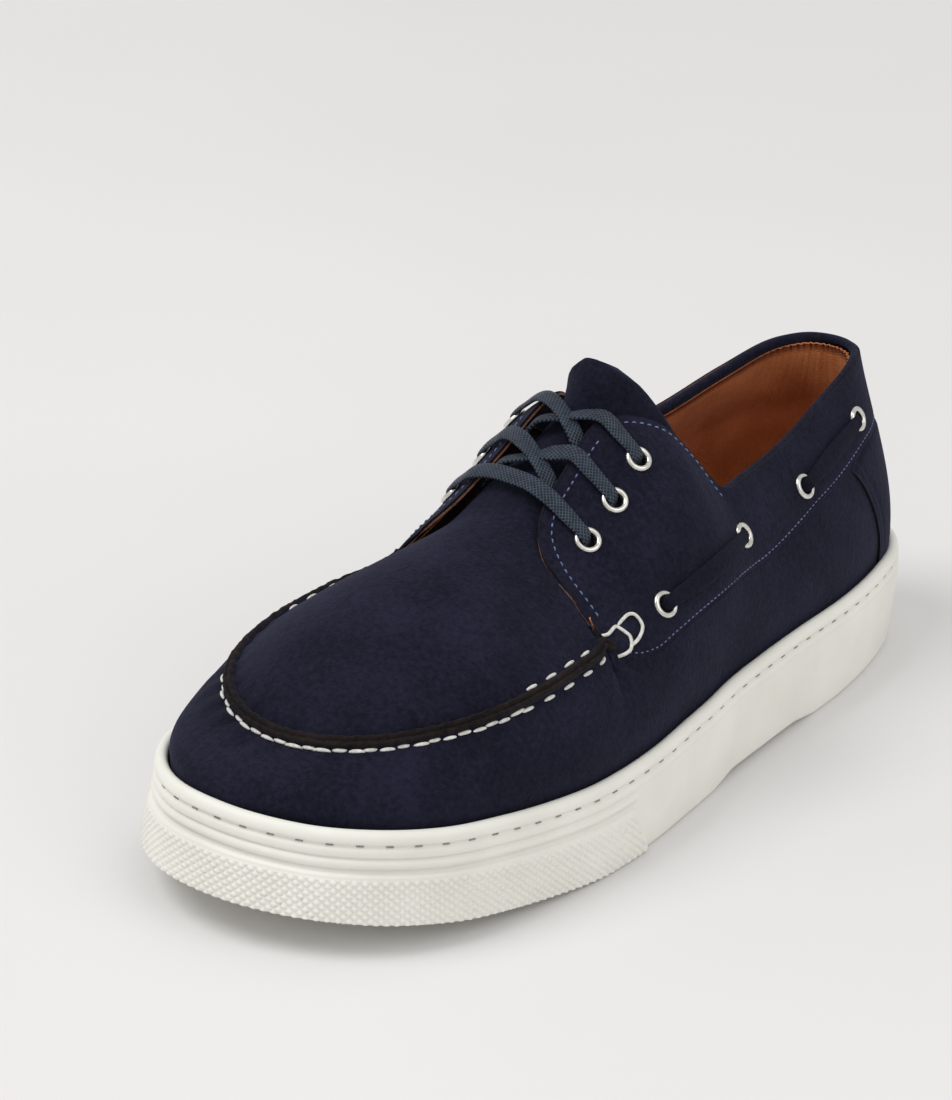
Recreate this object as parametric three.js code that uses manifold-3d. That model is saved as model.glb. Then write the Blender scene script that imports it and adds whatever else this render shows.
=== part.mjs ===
// Boat shoe for the left foot: a hollow suede upper with a moccasin seam, laced over
// a tongue and seated in a rubber cup sole. Millimetres. +Z up, toe towards -Y, the
// outer (lateral) side towards +X, standing on z = 0.
import * as THREE from 'three';
import { mergeVertices } from 'three/addons/utils/BufferGeometryUtils.js';
import Module from 'manifold-3d';

const wasm = await Module();
wasm.setup();
const rad = THREE.MathUtils.degToRad;
const lerp = THREE.MathUtils.lerp;
const clamp = THREE.MathUtils.clamp;

// ---------------------------------------------------------------- driving dimensions
const WALL = 2.2;                 // suede and lining of the upper
const GAP = 0.35;                 // clearance kept between neighbouring pieces
const SEAT_DEPTH = 3;             // how far the upper reaches down into the cup sole
const TONGUE_THICK = 2.4;
const INSOLE_THICK = 3.4;
const SEAM = { radius: 2.1, lift: 0.2, spacing: 7, runs: 44 };   // moccasin seam
const COUNTER = { thick: 1.3, clear: 0.95, half: 2.9, low: 0.03, high: 0.63 };
const EYELET = { rim: 4.1, barrel: 2.5, bore: 1.8, proud: 0.8, seat: 0.6, sides: 12 };
const LACE = { width: 5.2, thick: 1.6, over: 2.6, start: 1.2, runs: 12 };
const BAR_LIFT = 3;               // arch of the straight lace over the tongue
const CROSS_LIFT = { under: 1.6, over: 2.4 };
const THONG = { width: 5.6, thick: 2.6, clear: 0.7, runs: 8 };
const STEP = 11;                  // spacing of the sections round the foot
const TREAD = {
  depth: 1.6,
  width: 2.4,
  wave: 2.2,
  zigs: 8,
  cutter: 10,
  rows: [
    { y: -96, half: 32, x: -1 },
    { y: -80, half: 37, x: 1 },
    { y: -64, half: 39, x: 2 },
    { y: -48, half: 39, x: 3 },
    { y: -32, half: 38, x: 4 },
    { y: -16, half: 36, x: 5 },
    { y: 84, half: 29, x: 1 },
    { y: 100, half: 28, x: 0 },
    { y: 116, half: 24, x: 0 },
  ],
};

// Stations round the last, heel centre to toe tip, the same for both sides of the foot.
// y, lat, med, z: the feather line, where the upper meets the sole, lat and med being
// the distances to the outer and inner side. ty, tl, tm, tz: the upper edge of the wall,
// which is the collar, the eyestay and then the moccasin seam. lean and tip: degrees
// that the wall leans out at its foot and in at its upper edge.
const STATIONS = [
  { y: 145.0, lat: 0.0, med: 0.0, z: 31.5, ty: 138.5, tl: 0.0, tm: 0.0, tz: 91.0, lean: 3, tip: 10 },
  { y: 139.0, lat: 20.0, med: 20.0, z: 31.5, ty: 134.0, tl: 10.0, tm: 10.5, tz: 91.0, lean: 3, tip: 13 },
  { y: 128.5, lat: 29.5, med: 29.5, z: 31.5, ty: 123.5, tl: 15.5, tm: 16.5, tz: 90.0, lean: 3, tip: 18 },
  { y: 111.0, lat: 36.0, med: 36.3, z: 31.5, ty: 103.0, tl: 19.0, tm: 20.5, tz: 85.5, lean: 3, tip: 26 },
  { y: 86.0, lat: 40.8, med: 38.3, z: 31.3, ty: 76.0, tl: 23.0, tm: 23.5, tz: 80.0, lean: 4, tip: 30 },
  { y: 58.0, lat: 42.8, med: 37.3, z: 31.0, ty: 52.0, tl: 25.5, tm: 25.5, tz: 77.5, lean: 5, tip: 30 },
  { y: 42.0, lat: 43.9, med: 37.0, z: 30.6, ty: 39.5, tl: 26.3, tm: 26.5, tz: 77.2, lean: 5, tip: 30 },
  { y: 33.0, lat: 44.7, med: 37.0, z: 30.3, ty: 35.0, tl: 23.5, tm: 25.5, tz: 82.0, lean: 5, tip: 36 },
  { y: 25.0, lat: 45.4, med: 37.2, z: 30.0, ty: 29.0, tl: 17.5, tm: 22.5, tz: 92.5, lean: 5, tip: 42 },
  { y: 16.0, lat: 46.4, med: 37.7, z: 29.5, ty: 21.0, tl: 12.0, tm: 19.5, tz: 100.5, lean: 5, tip: 50 },
  { y: 4.0, lat: 48.5, med: 38.4, z: 28.8, ty: 7.0, tl: 5.0, tm: 16.0, tz: 103.0, lean: 5, tip: 58 },
  { y: -12.0, lat: 51.0, med: 40.5, z: 28.4, ty: -12.0, tl: 6.0, tm: 17.0, tz: 92.5, lean: 6, tip: 58 },
  { y: -27.0, lat: 53.3, med: 43.0, z: 28.0, ty: -27.0, tl: 9.5, tm: 19.5, tz: 82.5, lean: 8, tip: 56 },
  { y: -36.0, lat: 54.2, med: 44.6, z: 27.9, ty: -34.5, tl: 18.0, tm: 24.5, tz: 75.0, lean: 9, tip: 52 },
  { y: -42.0, lat: 54.5, med: 45.6, z: 27.8, ty: -35.0, tl: 29.0, tm: 31.5, tz: 67.0, lean: 10, tip: 48 },
  { y: -48.0, lat: 54.7, med: 46.6, z: 27.8, ty: -38.0, tl: 40.5, tm: 39.0, tz: 58.5, lean: 11, tip: 42 },
  { y: -60.0, lat: 54.4, med: 48.6, z: 27.9, ty: -54.0, tl: 43.3, tm: 41.8, tz: 57.0, lean: 12, tip: 44 },
  { y: -76.0, lat: 52.5, med: 50.0, z: 28.8, ty: -70.0, tl: 42.6, tm: 43.2, tz: 55.5, lean: 11, tip: 48 },
  { y: -93.0, lat: 49.6, med: 49.6, z: 30.5, ty: -86.0, tl: 39.5, tm: 42.3, tz: 54.0, lean: 11, tip: 50 },
  { y: -110.0, lat: 44.8, med: 46.4, z: 32.3, ty: -100.0, tl: 33.0, tm: 38.3, tz: 52.5, lean: 10, tip: 52 },
  { y: -125.0, lat: 35.8, med: 40.0, z: 34.2, ty: -111.0, tl: 24.3, tm: 31.3, tz: 51.0, lean: 9, tip: 54 },
  { y: -136.5, lat: 23.0, med: 30.0, z: 35.6, ty: -118.5, tl: 14.3, tm: 22.3, tz: 50.0, lean: 8, tip: 54 },
  { y: -143.3, lat: 7.5, med: 18.0, z: 36.8, ty: -122.4, tl: 4.2, tm: 12.5, tz: 49.4, lean: 8, tip: 54 },
  { y: -145.0, lat: -5.5, med: 5.5, z: 37.2, ty: -123.3, tl: -4.2, tm: 4.2, tz: 49.2, lean: 8, tip: 54 },
];
const TOE = STATIONS.length - 1;  // station number of the toe tip
const THROAT = 15;                // station of the throat corner, where the seam starts
const TOTAL = 2 * TOE;            // stations all round, back to the heel centre

// Spine of the apron, from the throat to the pole that its front gathers round, with
// the angle at which the apron rises from the seam at the station named and the slope
// at which the spine falls towards the toe.
const APRON = [
  { station: 15, y: -31.0, z: 84.0, rise: 36, fall: 0.25 },
  { station: 16, y: -52.0, z: 80.5, rise: 38, fall: 0.25 },
  { station: 17, y: -68.0, z: 77.0, rise: 42, fall: 0.26 },
  { station: 18, y: -81.0, z: 73.2, rise: 45, fall: 0.29 },
  { station: 19, y: -90.0, z: 69.8, rise: 48, fall: 0.35 },
  { station: 20, y: -95.5, z: 67.4, rise: 50, fall: 0.4 },
  { station: 21, y: -98.5, z: 66.0, rise: 50, fall: 0.42 },
  { station: 22, y: -100.0, z: 65.3, rise: 50, fall: 0.42 },
  { station: 23, y: -100.5, z: 65.0, rise: 50, fall: 0.42 },
];
const APRON_HANDLE = { low: 0.34, high: 0.42 };   // of the way from seam to spine

// Tongue sections, front to top: crown y and z, then for the outer and the inner side how far
// the side drops, the half width and how far the edge lies behind the crown.
const TONGUE = [
  { y: -30.2, z: 83.9, drop: 3.2, half: 12, back: -1.4, dropIn: 3.2, halfIn: 12, backIn: -1.4 },
  { y: -24.0, z: 85.6, drop: 10.5, half: 17, back: 1, dropIn: 10.5, halfIn: 17, backIn: 1 },
  { y: -12.0, z: 91.0, drop: 14, half: 18.5, back: 5, dropIn: 14, halfIn: 18, backIn: 3 },
  { y: 0.0, z: 97.8, drop: 17, half: 19.5, back: 18, dropIn: 17, halfIn: 16.5, backIn: 8 },
  { y: 7.0, z: 104.3, drop: 20, half: 19.5, back: 28, dropIn: 18, halfIn: 14.5, backIn: 14.5 },
  { y: 11.0, z: 110.5, drop: 15.5, half: 17, back: 20.5, dropIn: 12, halfIn: 13, backIn: 9 },
  { y: 13.0, z: 115.2, drop: 6.5, half: 12.5, back: 9.5, dropIn: 6, halfIn: 10, backIn: 3 },
  { y: 14.0, z: 117.5, drop: 2.5, half: 6, back: 4, dropIn: 2.5, halfIn: 5, backIn: 1.5 },
];
const TONGUE_ARC = rad(72);       // half of the arc that a section spans

// The centre line of the foot above the sole.
const CENTRE = [
  { y: -125, x: -4.2 },
  { y: -60, x: -2.5 },
  { y: -30, x: -4.5 },
  { y: 10, x: -4.5 },
  { y: 60, x: 0 },
];

// Eyelets as station and height up the wall, 0 at the feather line and 1 at the edge.
const LACE_EYELETS = [
  { station: 11.53, up: 0.8 },
  { station: 10.73, up: 0.8 },
  { station: 10.03, up: 0.83 },
];
const SIDE_EYELETS = [
  { station: 10.95, up: 0.435 },
  { station: 6.2, up: 0.71 },
  { station: 4.08, up: 0.745 },
  { station: 2.49, up: 0.785 },
];
// The places that the thong passes between the first and the last two side eyelets.
const THONGS = {
  front: [SIDE_EYELETS[0], { station: 9.3, up: 0.455 }, SIDE_EYELETS[1]],
  rear: [SIDE_EYELETS[2], { station: 3.4, up: 0.778 }, SIDE_EYELETS[3]],
};

// ---------------------------------------------------------------- curves and sections
// One column of a table at x, by a cubic through its rows with finite-difference slopes.
function column(rows, key, name, x) {
  const last = rows.length - 1;
  const rising = rows[last][key] > rows[0][key];
  let i = 0;
  while (i < last - 1 && (rising ? x > rows[i + 1][key] : x < rows[i + 1][key])) i++;
  const [a, b] = [rows[i], rows[i + 1]];
  const before = rows[Math.max(i - 1, 0)];
  const after = rows[Math.min(i + 2, last)];
  const step = b[key] - a[key];
  const t = clamp((x - a[key]) / step, 0, 1);
  const slopeA = (b[name] - before[name]) / (b[key] - before[key]) * step;
  const slopeB = (after[name] - a[name]) / (after[key] - a[key]) * step;
  return hermite(a[name], b[name], slopeA, slopeB, t);
}

function hermite(a, b, slopeA, slopeB, t) {
  const u = 1 - t;
  return a * u * u * (1 + 2 * t) + b * t * t * (3 - 2 * t) + slopeA * t * u * u - slopeB * t * t * u;
}

// Station k on the way round: outer side 0 to TOE, then back along the inner side.
function stationAt(k) {
  const n = ((k % TOTAL) + TOTAL) % TOTAL;
  const outer = n <= TOE;
  const row = STATIONS[outer ? n : TOTAL - n];
  const x = outer ? row.lat : -row.med;
  const tx = outer ? row.tl : -row.tm;
  return [x, row.y, row.z, tx, row.ty, row.tz, row.lean, row.tip];
}

const KNOTS = [0];
for (let k = 0; k < TOTAL; k++) {
  const [a, b] = [stationAt(k), stationAt(k + 1)];
  const gap = Math.hypot(...[0, 1, 2, 3, 4, 5].map((i) => b[i] - a[i]));
  KNOTS.push(KNOTS[k] + Math.sqrt(gap));
}
const knot = (k) => KNOTS[((k % TOTAL) + TOTAL) % TOTAL] + Math.floor(k / TOTAL) * KNOTS[TOTAL];

// Feather point, upper edge and the two wall angles at any place s round the foot.
function section(s) {
  const k = Math.floor(s);
  const [t0, t1, t2, t3] = [knot(k - 1), knot(k), knot(k + 1), knot(k + 2)];
  const [p0, p1, p2, p3] = [k - 1, k, k + 1, k + 2].map(stationAt);
  const span = t2 - t1;
  const v = p1.map((a, i) => {
    const slope1 = tangent(p0[i], a, p2[i], t1 - t0, span);
    const slope2 = tangent(a, p2[i], p3[i], span, t3 - t2);
    return hermite(a, p2[i], slope1 * span, slope2 * span, s - k);
  });
  return {
    foot: new THREE.Vector3(v[0], v[1], v[2]),
    edge: new THREE.Vector3(v[3], v[4], v[5]),
    lean: rad(v[6]),
    tip: rad(v[7]),
  };
}

function tangent(a, b, c, before, after) {
  return ((b - a) / before * after + (c - b) / after * before) / (before + after);
}

// Level direction pointing out of the foot at s.
function outward(s) {
  const d = 0.02;
  const along = section(s + d).foot.sub(section(s - d).foot);
  return new THREE.Vector3(-along.y, along.x, 0).normalize();
}

function bezier(a, b, c, d, t) {
  const u = 1 - t;
  return new THREE.Vector3()
    .addScaledVector(a, u * u * u)
    .addScaledVector(b, 3 * u * u * t)
    .addScaledVector(c, 3 * u * t * t)
    .addScaledVector(d, t * t * t);
}

const UP = new THREE.Vector3(0, 0, 1);
const HANDLE = 0.36;              // length of a section's handles, of its height

// Outer face of the wall at place s and height up, 0 at the feather and 1 at the edge.
function wallPoint(s, up) {
  const { foot, edge, lean, tip } = section(s);
  const out = outward(s);
  if (up < 0) return foot.addScaledVector(UP, up * SEAT_DEPTH);
  const reach = foot.distanceTo(edge) * HANDLE;
  const low = foot.clone().addScaledVector(out, reach * Math.sin(lean));
  low.addScaledVector(UP, reach * Math.cos(lean));
  const high = edge.clone().addScaledVector(out, reach * Math.sin(tip));
  high.addScaledVector(UP, -reach * Math.cos(tip));
  return bezier(foot, low, high, edge, up);
}

const centreX = (y) => column(CENTRE, 'y', 'x', clamp(y, CENTRE[0].y, CENTRE.at(-1).y));

// Outer face of the apron at place s and across, 0 at the seam and 1 at the spine.
function apronPoint(s, across) {
  const station = s <= TOE ? s : TOTAL - s;
  const edge = section(s).edge;
  const [y, z, rise, fall] = ['y', 'z', 'rise', 'fall'].map((c) => column(APRON, 'station', c, station));
  const spine = new THREE.Vector3(centreX(y), y, z);
  const inward = spine.clone().sub(edge).setZ(0);
  const reach = inward.length();
  inward.normalize();
  const lowReach = APRON_HANDLE.low * reach;
  const highReach = APRON_HANDLE.high * reach;
  const low = edge.clone().addScaledVector(inward, lowReach * Math.cos(rad(rise)));
  low.addScaledVector(UP, lowReach * Math.sin(rad(rise)));
  const high = spine.clone().addScaledVector(inward, -highReach);
  high.addScaledVector(UP, -highReach * fall * inward.y);
  return bezier(edge, low, high, spine, across);
}

// Outer face of the tongue at a section number and across, -1 inner to 1 outer edge.
function tonguePoint(row, across) {
  const rows = TONGUE.map((r, n) => ({ ...r, n }));
  const at = (name) => column(rows, 'n', name, row);
  const outer = across > 0;
  const angle = across * TONGUE_ARC;
  const fall = (1 - Math.cos(angle)) / (1 - Math.cos(TONGUE_ARC));
  const [half, back, drop] = outer ? ['half', 'back', 'drop'] : ['halfIn', 'backIn', 'dropIn'];
  const y = at('y');
  const x = centreX(y) + at(half) * Math.sin(angle) / Math.sin(TONGUE_ARC);
  return new THREE.Vector3(x, y + at(back) * fall, at('z') - at(drop) * fall);
}

const RIM = 0.02;                 // normals are taken this far inside a surface's edges

// Outward normal of a surface given as a function of two parameters.
function normalOf(surface, a, b) {
  const d = 0.01;
  const da = surface(a + d, b).sub(surface(a - d, b));
  const db = surface(a, b + d).sub(surface(a, b - d));
  return db.cross(da).normalize();
}

// The wall's outer face moved out by off along its normal.
function wallOffset(s, up, off) {
  if (up < 0) return wallPoint(s, up).addScaledVector(outward(s), off);
  const at = clamp(up, RIM, 1 - RIM);
  return wallPoint(s, up).addScaledVector(normalOf(wallPoint, s, at), off);
}

// ---------------------------------------------------------------- solids
function meshFrom(points, faces) {
  const geometry = new THREE.BufferGeometry();
  const values = points.flatMap((p) => [p.x, p.y, p.z]);
  geometry.setAttribute('position', new THREE.Float32BufferAttribute(values, 3));
  geometry.setIndex(faces.flat());
  return geometry;
}

// Closed loops of points joined in turn: into a ring, or capped at both ends, or
// pinched there, where a loop's two halves meet.
function loftSolid(loops, ends) {
  const n = loops[0].length;
  const faces = [];
  const rows = ends === 'ring' ? loops.length : loops.length - 1;
  for (let i = 0; i < rows; i++) {
    for (let j = 0; j < n; j++) {
      const a = i * n + j;
      const b = i * n + (j + 1) % n;
      const c = ((i + 1) % loops.length) * n + (j + 1) % n;
      const d = ((i + 1) % loops.length) * n + j;
      faces.push([a, b, c], [a, c, d]);
    }
  }
  if (ends === 'capped') {
    const end = (loops.length - 1) * n;
    for (let j = 1; j < n - 1; j++) faces.push([0, j + 1, j], [end, end + j, end + j + 1]);
  }
  return solid(meshFrom(loops.flat(), faces));
}

// Two matching grids of points sewn into one plate.
function plateSolid(outer, inner) {
  const loops = outer.map((row, i) => [...row, ...[...inner[i]].reverse()]);
  const n = outer[0].length;
  const faces = [];
  const size = 2 * n;
  for (let i = 0; i < loops.length - 1; i++) {
    for (let j = 0; j < size; j++) {
      const a = i * size + j;
      const b = i * size + (j + 1) % size;
      faces.push([a, b, b + size], [a, b + size, a + size]);
    }
  }
  for (const [start, turn] of [[0, 1], [(loops.length - 1) * size, -1]]) {
    for (let j = 0; j < n - 1; j++) {
      const [a, b, c, d] = [start + j, start + j + 1, start + size - 2 - j, start + size - 1 - j];
      faces.push(turn > 0 ? [a, c, b] : [a, b, c], turn > 0 ? [a, d, c] : [a, c, d]);
    }
  }
  return solid(meshFrom(loops.flat(), faces));
}

// A manifold solid from a three.js geometry, turned right side out if need be.
function solid(geometry) {
  const bare = geometry.clone();
  bare.deleteAttribute('normal');
  bare.deleteAttribute('uv');
  const merged = mergeVertices(bare, 1e-4);
  const triVerts = new Uint32Array(chunks(merged.index.array, 3)
    .filter(([a, b, c]) => a !== b && b !== c && c !== a).flat());
  const vertProperties = new Float32Array(merged.attributes.position.array);
  if (signedVolume(vertProperties, triVerts) < 0) {
    for (let i = 0; i < triVerts.length; i += 3) {
      [triVerts[i + 1], triVerts[i + 2]] = [triVerts[i + 2], triVerts[i + 1]];
    }
  }
  return new wasm.Manifold(new wasm.Mesh({ numProp: 3, vertProperties, triVerts }));
}

function chunks(list, n) {
  return Array.from({ length: list.length / n }, (_, i) => Array.from(list.slice(n * i, n * i + n)));
}

function signedVolume(p, tri) {
  let sum = 0;
  for (let i = 0; i < tri.length; i += 3) {
    const [a, b, c] = [0, 1, 2].map((k) => new THREE.Vector3().fromArray(p, 3 * tri[i + k]));
    sum += a.dot(b.cross(c));
  }
  return sum;
}

function geometryOf(manifold) {
  const mesh = manifold.getMesh();
  const geometry = new THREE.BufferGeometry();
  geometry.setAttribute('position', new THREE.BufferAttribute(new Float32Array(mesh.vertProperties), 3));
  geometry.setIndex(new THREE.BufferAttribute(new Uint32Array(mesh.triVerts), 1));
  geometry.computeVertexNormals();
  return geometry;
}

const unite = (parts) => parts.reduce((a, b) => a.add(b));

// Places round the foot between two stations, about `step` mm apart, the same on both
// sides of the foot.
function places(from, to, step) {
  const list = [];
  for (let k = from; k < to; k++) {
    const pair = [k, TOTAL - 1 - k].map((i) => [section(i), section(i + 1)]);
    const runs = pair.flatMap(([a, b]) => [a.foot.distanceTo(b.foot), 0.8 * a.edge.distanceTo(b.edge)]);
    const n = Math.max(1, Math.round(Math.max(...runs) / step));
    for (let i = 0; i < n; i++) list.push(k < TOE ? k + i / n : TOTAL - (TOTAL - 1 - k + (n - i) / n));
  }
  return list;
}
const span = (from, to, n) => Array.from({ length: n + 1 }, (_, i) => lerp(from, to, i / n));

// Frame of a small part standing on the wall: z out of the wall, y along the foot.
function standOnWall(s, up, off) {
  const at = wallPoint(s, up);
  const z = normalOf(wallPoint, s, up);
  const x = wallPoint(s + 0.05, up).sub(wallPoint(s - 0.05, up)).cross(z).normalize();
  const y = z.clone().cross(x);
  at.addScaledVector(z, off);
  return new THREE.Matrix4().makeBasis(x, y, z).setPosition(at);
}

// ---------------------------------------------------------------- upper
const OUTER_HEIGHTS = [-1, 0, 0.13, 0.28, 0.44, 0.6, 0.75, 0.88, 1];
const INNER_HEIGHTS = [1, 0.8, 0.55, 0.3, 0, -1];

function makeUpper() {
  const loops = places(0, TOTAL, STEP).map((s) => [
    ...OUTER_HEIGHTS.map((up) => wallOffset(s, up, 0)),
    ...INNER_HEIGHTS.map((up) => wallOffset(s, up, -WALL)),
  ]);
  const wall = loftSolid(loops, 'ring');
  const shoe = unite([wall, makeApron(), makeSeam()]);
  const holes = eyeletPlaces().map(eyeletHole);
  return shoe.subtract(unite(holes));
}

// The apron, in two halves that lap a little over each other along the spine.
const ACROSS = [0, 0.16, 0.36, 0.6, 0.82, 1];
const SPINE_LAP = 0.4;
const APRON_STEP = 13;

function makeApron() {
  const stops = [...places(THROAT, TOTAL - THROAT, APRON_STEP), TOTAL - THROAT];
  const half = (from, to) => {
    const rows = stops.filter((s) => s >= from && s <= to);
    const face = (off) => rows.map((s) => pastSpine(ACROSS.map((a) => {
      const normal = normalOf(apronPoint, s, clamp(a, RIM, 1 - RIM));
      return apronPoint(s, a).addScaledVector(normal, off);
    })));
    return plateSolid(face(0), face(-WALL));
  };
  return unite([half(THROAT, TOE), half(TOE, TOTAL - THROAT)]);
}

function pastSpine(row) {
  const [a, b] = row.slice(-2);
  const step = b.clone().sub(a).setZ(0).normalize();
  return [...row, b.clone().addScaledVector(step, SPINE_LAP)];
}

function makeSeam() {
  const stops = [...places(THROAT, TOTAL - THROAT, SEAM.spacing), TOTAL - THROAT];
  const path = stops.map((s) => section(s).edge.addScaledVector(UP, SEAM.lift));
  const curve = new THREE.CatmullRomCurve3(path, false, 'centripetal');
  const ring = new THREE.Shape().absarc(0, 0, SEAM.radius, 0, 2 * Math.PI);
  return solid(new THREE.ExtrudeGeometry(new THREE.Shape(ring.getPoints(2)), {
    steps: SEAM.runs,
    extrudePath: curve,
    bevelEnabled: false,
  }));
}

// Every eyelet's place as { s, up }, on both sides of the foot.
const pairOf = ({ station, up }) => [{ s: station, up }, { s: TOTAL - station, up }];
const eyeletPlaces = () => [...LACE_EYELETS, ...SIDE_EYELETS].flatMap(pairOf);

function eyeletHole({ s, up }) {
  const radius = EYELET.barrel + GAP;
  const tool = new THREE.CylinderGeometry(radius, radius, 6 * WALL, EYELET.sides);
  tool.rotateX(Math.PI / 2).applyMatrix4(standOnWall(s, up, 0));
  return solid(tool);
}

// ---------------------------------------------------------------- sole and insole
// Side of the sole from the lip down: distance out from the feather line, and depth
// below it. The last rows are measured up from the ground instead.
const SIDE = [
  { out: GAP, down: SEAT_DEPTH + GAP },
  { out: GAP, down: 0 },
  { out: 1.8, down: -0.7 },
  { out: 3.6, down: 0.5 },
  { out: 4.2, down: 2.6 },
  { out: 3.5, down: 3.4 },
  { out: 4.4, down: 4.4 },
  { out: 4.6, down: 8.6 },
];
const BUMPER = { down: 9.4, proud: 0.9, back: -2, fade: 8, spread: 0.3 };
const EDGE = { round: 1.6, up: 1.4 };

// How far the sole's bottom edge stands out from the feather line.
const FLARE = [
  { y: -150, out: 7.2 },
  { y: -60, out: 4.4 },
  { y: 30, out: 4.8 },
  { y: 110, out: 3.0 },
  { y: 150, out: 2.0 },
];
const TOE_SPRING = { from: -55, reach: 95, height: 12, power: 1.3 };
const ARCH = { from: 4, to: 66, height: 1.8, slope: 12 };

// Height of the sole's underside above the ground.
function groundHeight(y) {
  const ahead = Math.max(0, TOE_SPRING.from - y) / TOE_SPRING.reach;
  const rise = Math.min(y - ARCH.from, ARCH.to - y) / ARCH.slope;
  return TOE_SPRING.height * ahead ** TOE_SPRING.power + ARCH.height * clamp(rise, 0, 1);
}

function soleSide(s) {
  const { foot } = section(s);
  const out = outward(s);
  const at = (off, z) => foot.clone().addScaledVector(out, off).setZ(z);
  const flare = column(FLARE, 'y', 'out', foot.y);
  const proud = BUMPER.proud * clamp((BUMPER.back - foot.y) / BUMPER.fade, 0, 1);
  const low = groundHeight(foot.y + out.y * flare);
  const top = SIDE.map(({ out: off, down }) => at(off, foot.z - down));
  const wide = lerp(SIDE.at(-1).out, flare, BUMPER.spread);
  return [
    ...top,
    at(wide + proud, foot.z - BUMPER.down),
    at(flare + proud, low + EDGE.up),
    at(flare + proud - EDGE.round, low),
  ];
}

// A solid whose cross-sections run from the outer side of the foot to the inner.
function crossSolid(side) {
  const stops = [...places(0, TOE, STEP), TOE];
  const loops = stops.map((s) => [...side(s), ...side(TOTAL - s).reverse()]);
  return loftSolid(loops, 'pinched');
}

function makeSole() {
  const grooves = TREAD.rows.map(({ y, half, x }) => treadGroove(y, half, x));
  return crossSolid(soleSide).subtract(unite(grooves));
}

// One zigzag groove across the underside.
function treadGroove(y, half, x) {
  const top = [];
  const base = [];
  for (let i = 0; i <= TREAD.zigs; i++) {
    const px = lerp(x - half, x + half, i / TREAD.zigs);
    const py = (i % 2 ? 1 : -1) * TREAD.wave;
    top.push(new THREE.Vector2(px, y + py + TREAD.width / 2));
    base.push(new THREE.Vector2(px, y + py - TREAD.width / 2));
  }
  const shape = new THREE.Shape([...base, ...top.reverse()]);
  const cutter = new THREE.ExtrudeGeometry(shape, { depth: TREAD.cutter, bevelEnabled: false });
  cutter.translate(0, 0, groundHeight(y) + TREAD.depth - TREAD.cutter);
  return solid(cutter);
}

function insoleSide(s) {
  const { foot } = section(s);
  const edge = foot.clone().addScaledVector(outward(s), -WALL - GAP);
  const low = foot.z - SEAT_DEPTH;
  return [edge.clone().setZ(low), edge.setZ(low + INSOLE_THICK)];
}

// ---------------------------------------------------------------- tongue and counter
function makeTongue() {
  const last = TONGUE.length - 1;
  const across = span(-1, 1, 8);
  const face = (off) => span(0, last, 8).map((row) => across.map((a) => {
    const normal = normalOf(tonguePoint, clamp(row, RIM, last - RIM), a);
    return tonguePoint(row, a).addScaledVector(normal, off);
  }));
  return plateSolid(face(0), face(-TONGUE_THICK));
}

function makeCounter() {
  const face = (off) => span(-COUNTER.half, COUNTER.half, 8).map((s) => (
    span(COUNTER.low, COUNTER.high, 4).map((up) => wallOffset(s, up, off))
  ));
  return plateSolid(face(COUNTER.clear + COUNTER.thick), face(COUNTER.clear));
}

// ---------------------------------------------------------------- eyelets and laces
function makeEyelet({ s, up }) {
  const { rim, barrel, bore, proud, seat } = EYELET;
  const end = -WALL - proud;
  const profile = [
    [bore, end],
    [barrel, end],
    [barrel, seat],
    [rim, seat],
    [rim - proud, seat + proud],
    [bore, seat + proud / 2],
    [bore, end],
  ].map(([x, y]) => new THREE.Vector2(x, y));
  const ring = new THREE.LatheGeometry(profile, EYELET.sides);
  return solid(ring.rotateX(Math.PI / 2).applyMatrix4(standOnWall(s, up, 0)));
}

// A flat strap along a route of { at, normal }, its broad face towards the normal.
function strap(route, width, thick, steps) {
  const path = new THREE.CatmullRomCurve3(route.map((r) => r.at), false, 'centripetal');
  const lean = new THREE.CatmullRomCurve3(route.map((r) => r.normal), false, 'centripetal');
  const flat = [[-1, 0], [-0.75, 1], [0.75, 1], [1, 0], [0.75, -1], [-0.75, -1]];
  const loops = span(0, 1, steps).map((t) => {
    const at = path.getPoint(t);
    const ahead = path.getTangent(t);
    const side = lean.getPoint(t).cross(ahead).normalize();
    const top = ahead.clone().cross(side);
    return flat.map(([a, b]) => (
      at.clone().addScaledVector(side, a * width / 2).addScaledVector(top, b * thick / 2)
    ));
  });
  return loftSolid(loops, 'capped');
}

// A lace standing over an eyelet, over the eyestay's edge, and midway over the throat.
function overEyelet({ s, up }) {
  const normal = normalOf(wallPoint, s, up);
  return { at: wallPoint(s, up).addScaledVector(normal, LACE.over), normal };
}

function overEdge({ s }) {
  const normal = normalOf(wallPoint, s, 1 - RIM);
  return { at: section(s).edge.addScaledVector(normal, LACE.over), normal };
}

function overThroat(a, b, lift) {
  const at = a.at.clone().lerp(b.at, 0.5).addScaledVector(UP, lift);
  return { at, normal: UP.clone() };
}

function makeBar() {
  const [outer, inner] = pairOf(LACE_EYELETS[0]);
  const edges = [overEdge(outer), overEdge(inner)];
  const route = [overEyelet(outer), edges[0], overThroat(...edges, BAR_LIFT), edges[1], overEyelet(inner)];
  return strap(route, LACE.width, LACE.thick, LACE.runs);
}

// Two strands that cross over the tongue. Each comes up beside an eyestay at the lower
// eyelet and ends over the eyelet above it on the other side.
function makeCross(lower, upper) {
  const strand = (from, to, lift) => {
    const start = besideEdge(from);
    const edge = overEdge(to);
    const route = [start, overThroat(start, edge, lift), edge, overEyelet(to)];
    return strap(route, LACE.width, LACE.thick, LACE.runs);
  };
  const [outerLow, innerLow] = pairOf(lower);
  const [outerHigh, innerHigh] = pairOf(upper);
  return unite([
    strand(outerLow, innerHigh, CROSS_LIFT.over),
    strand(innerLow, outerHigh, CROSS_LIFT.under),
  ]);
}

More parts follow.
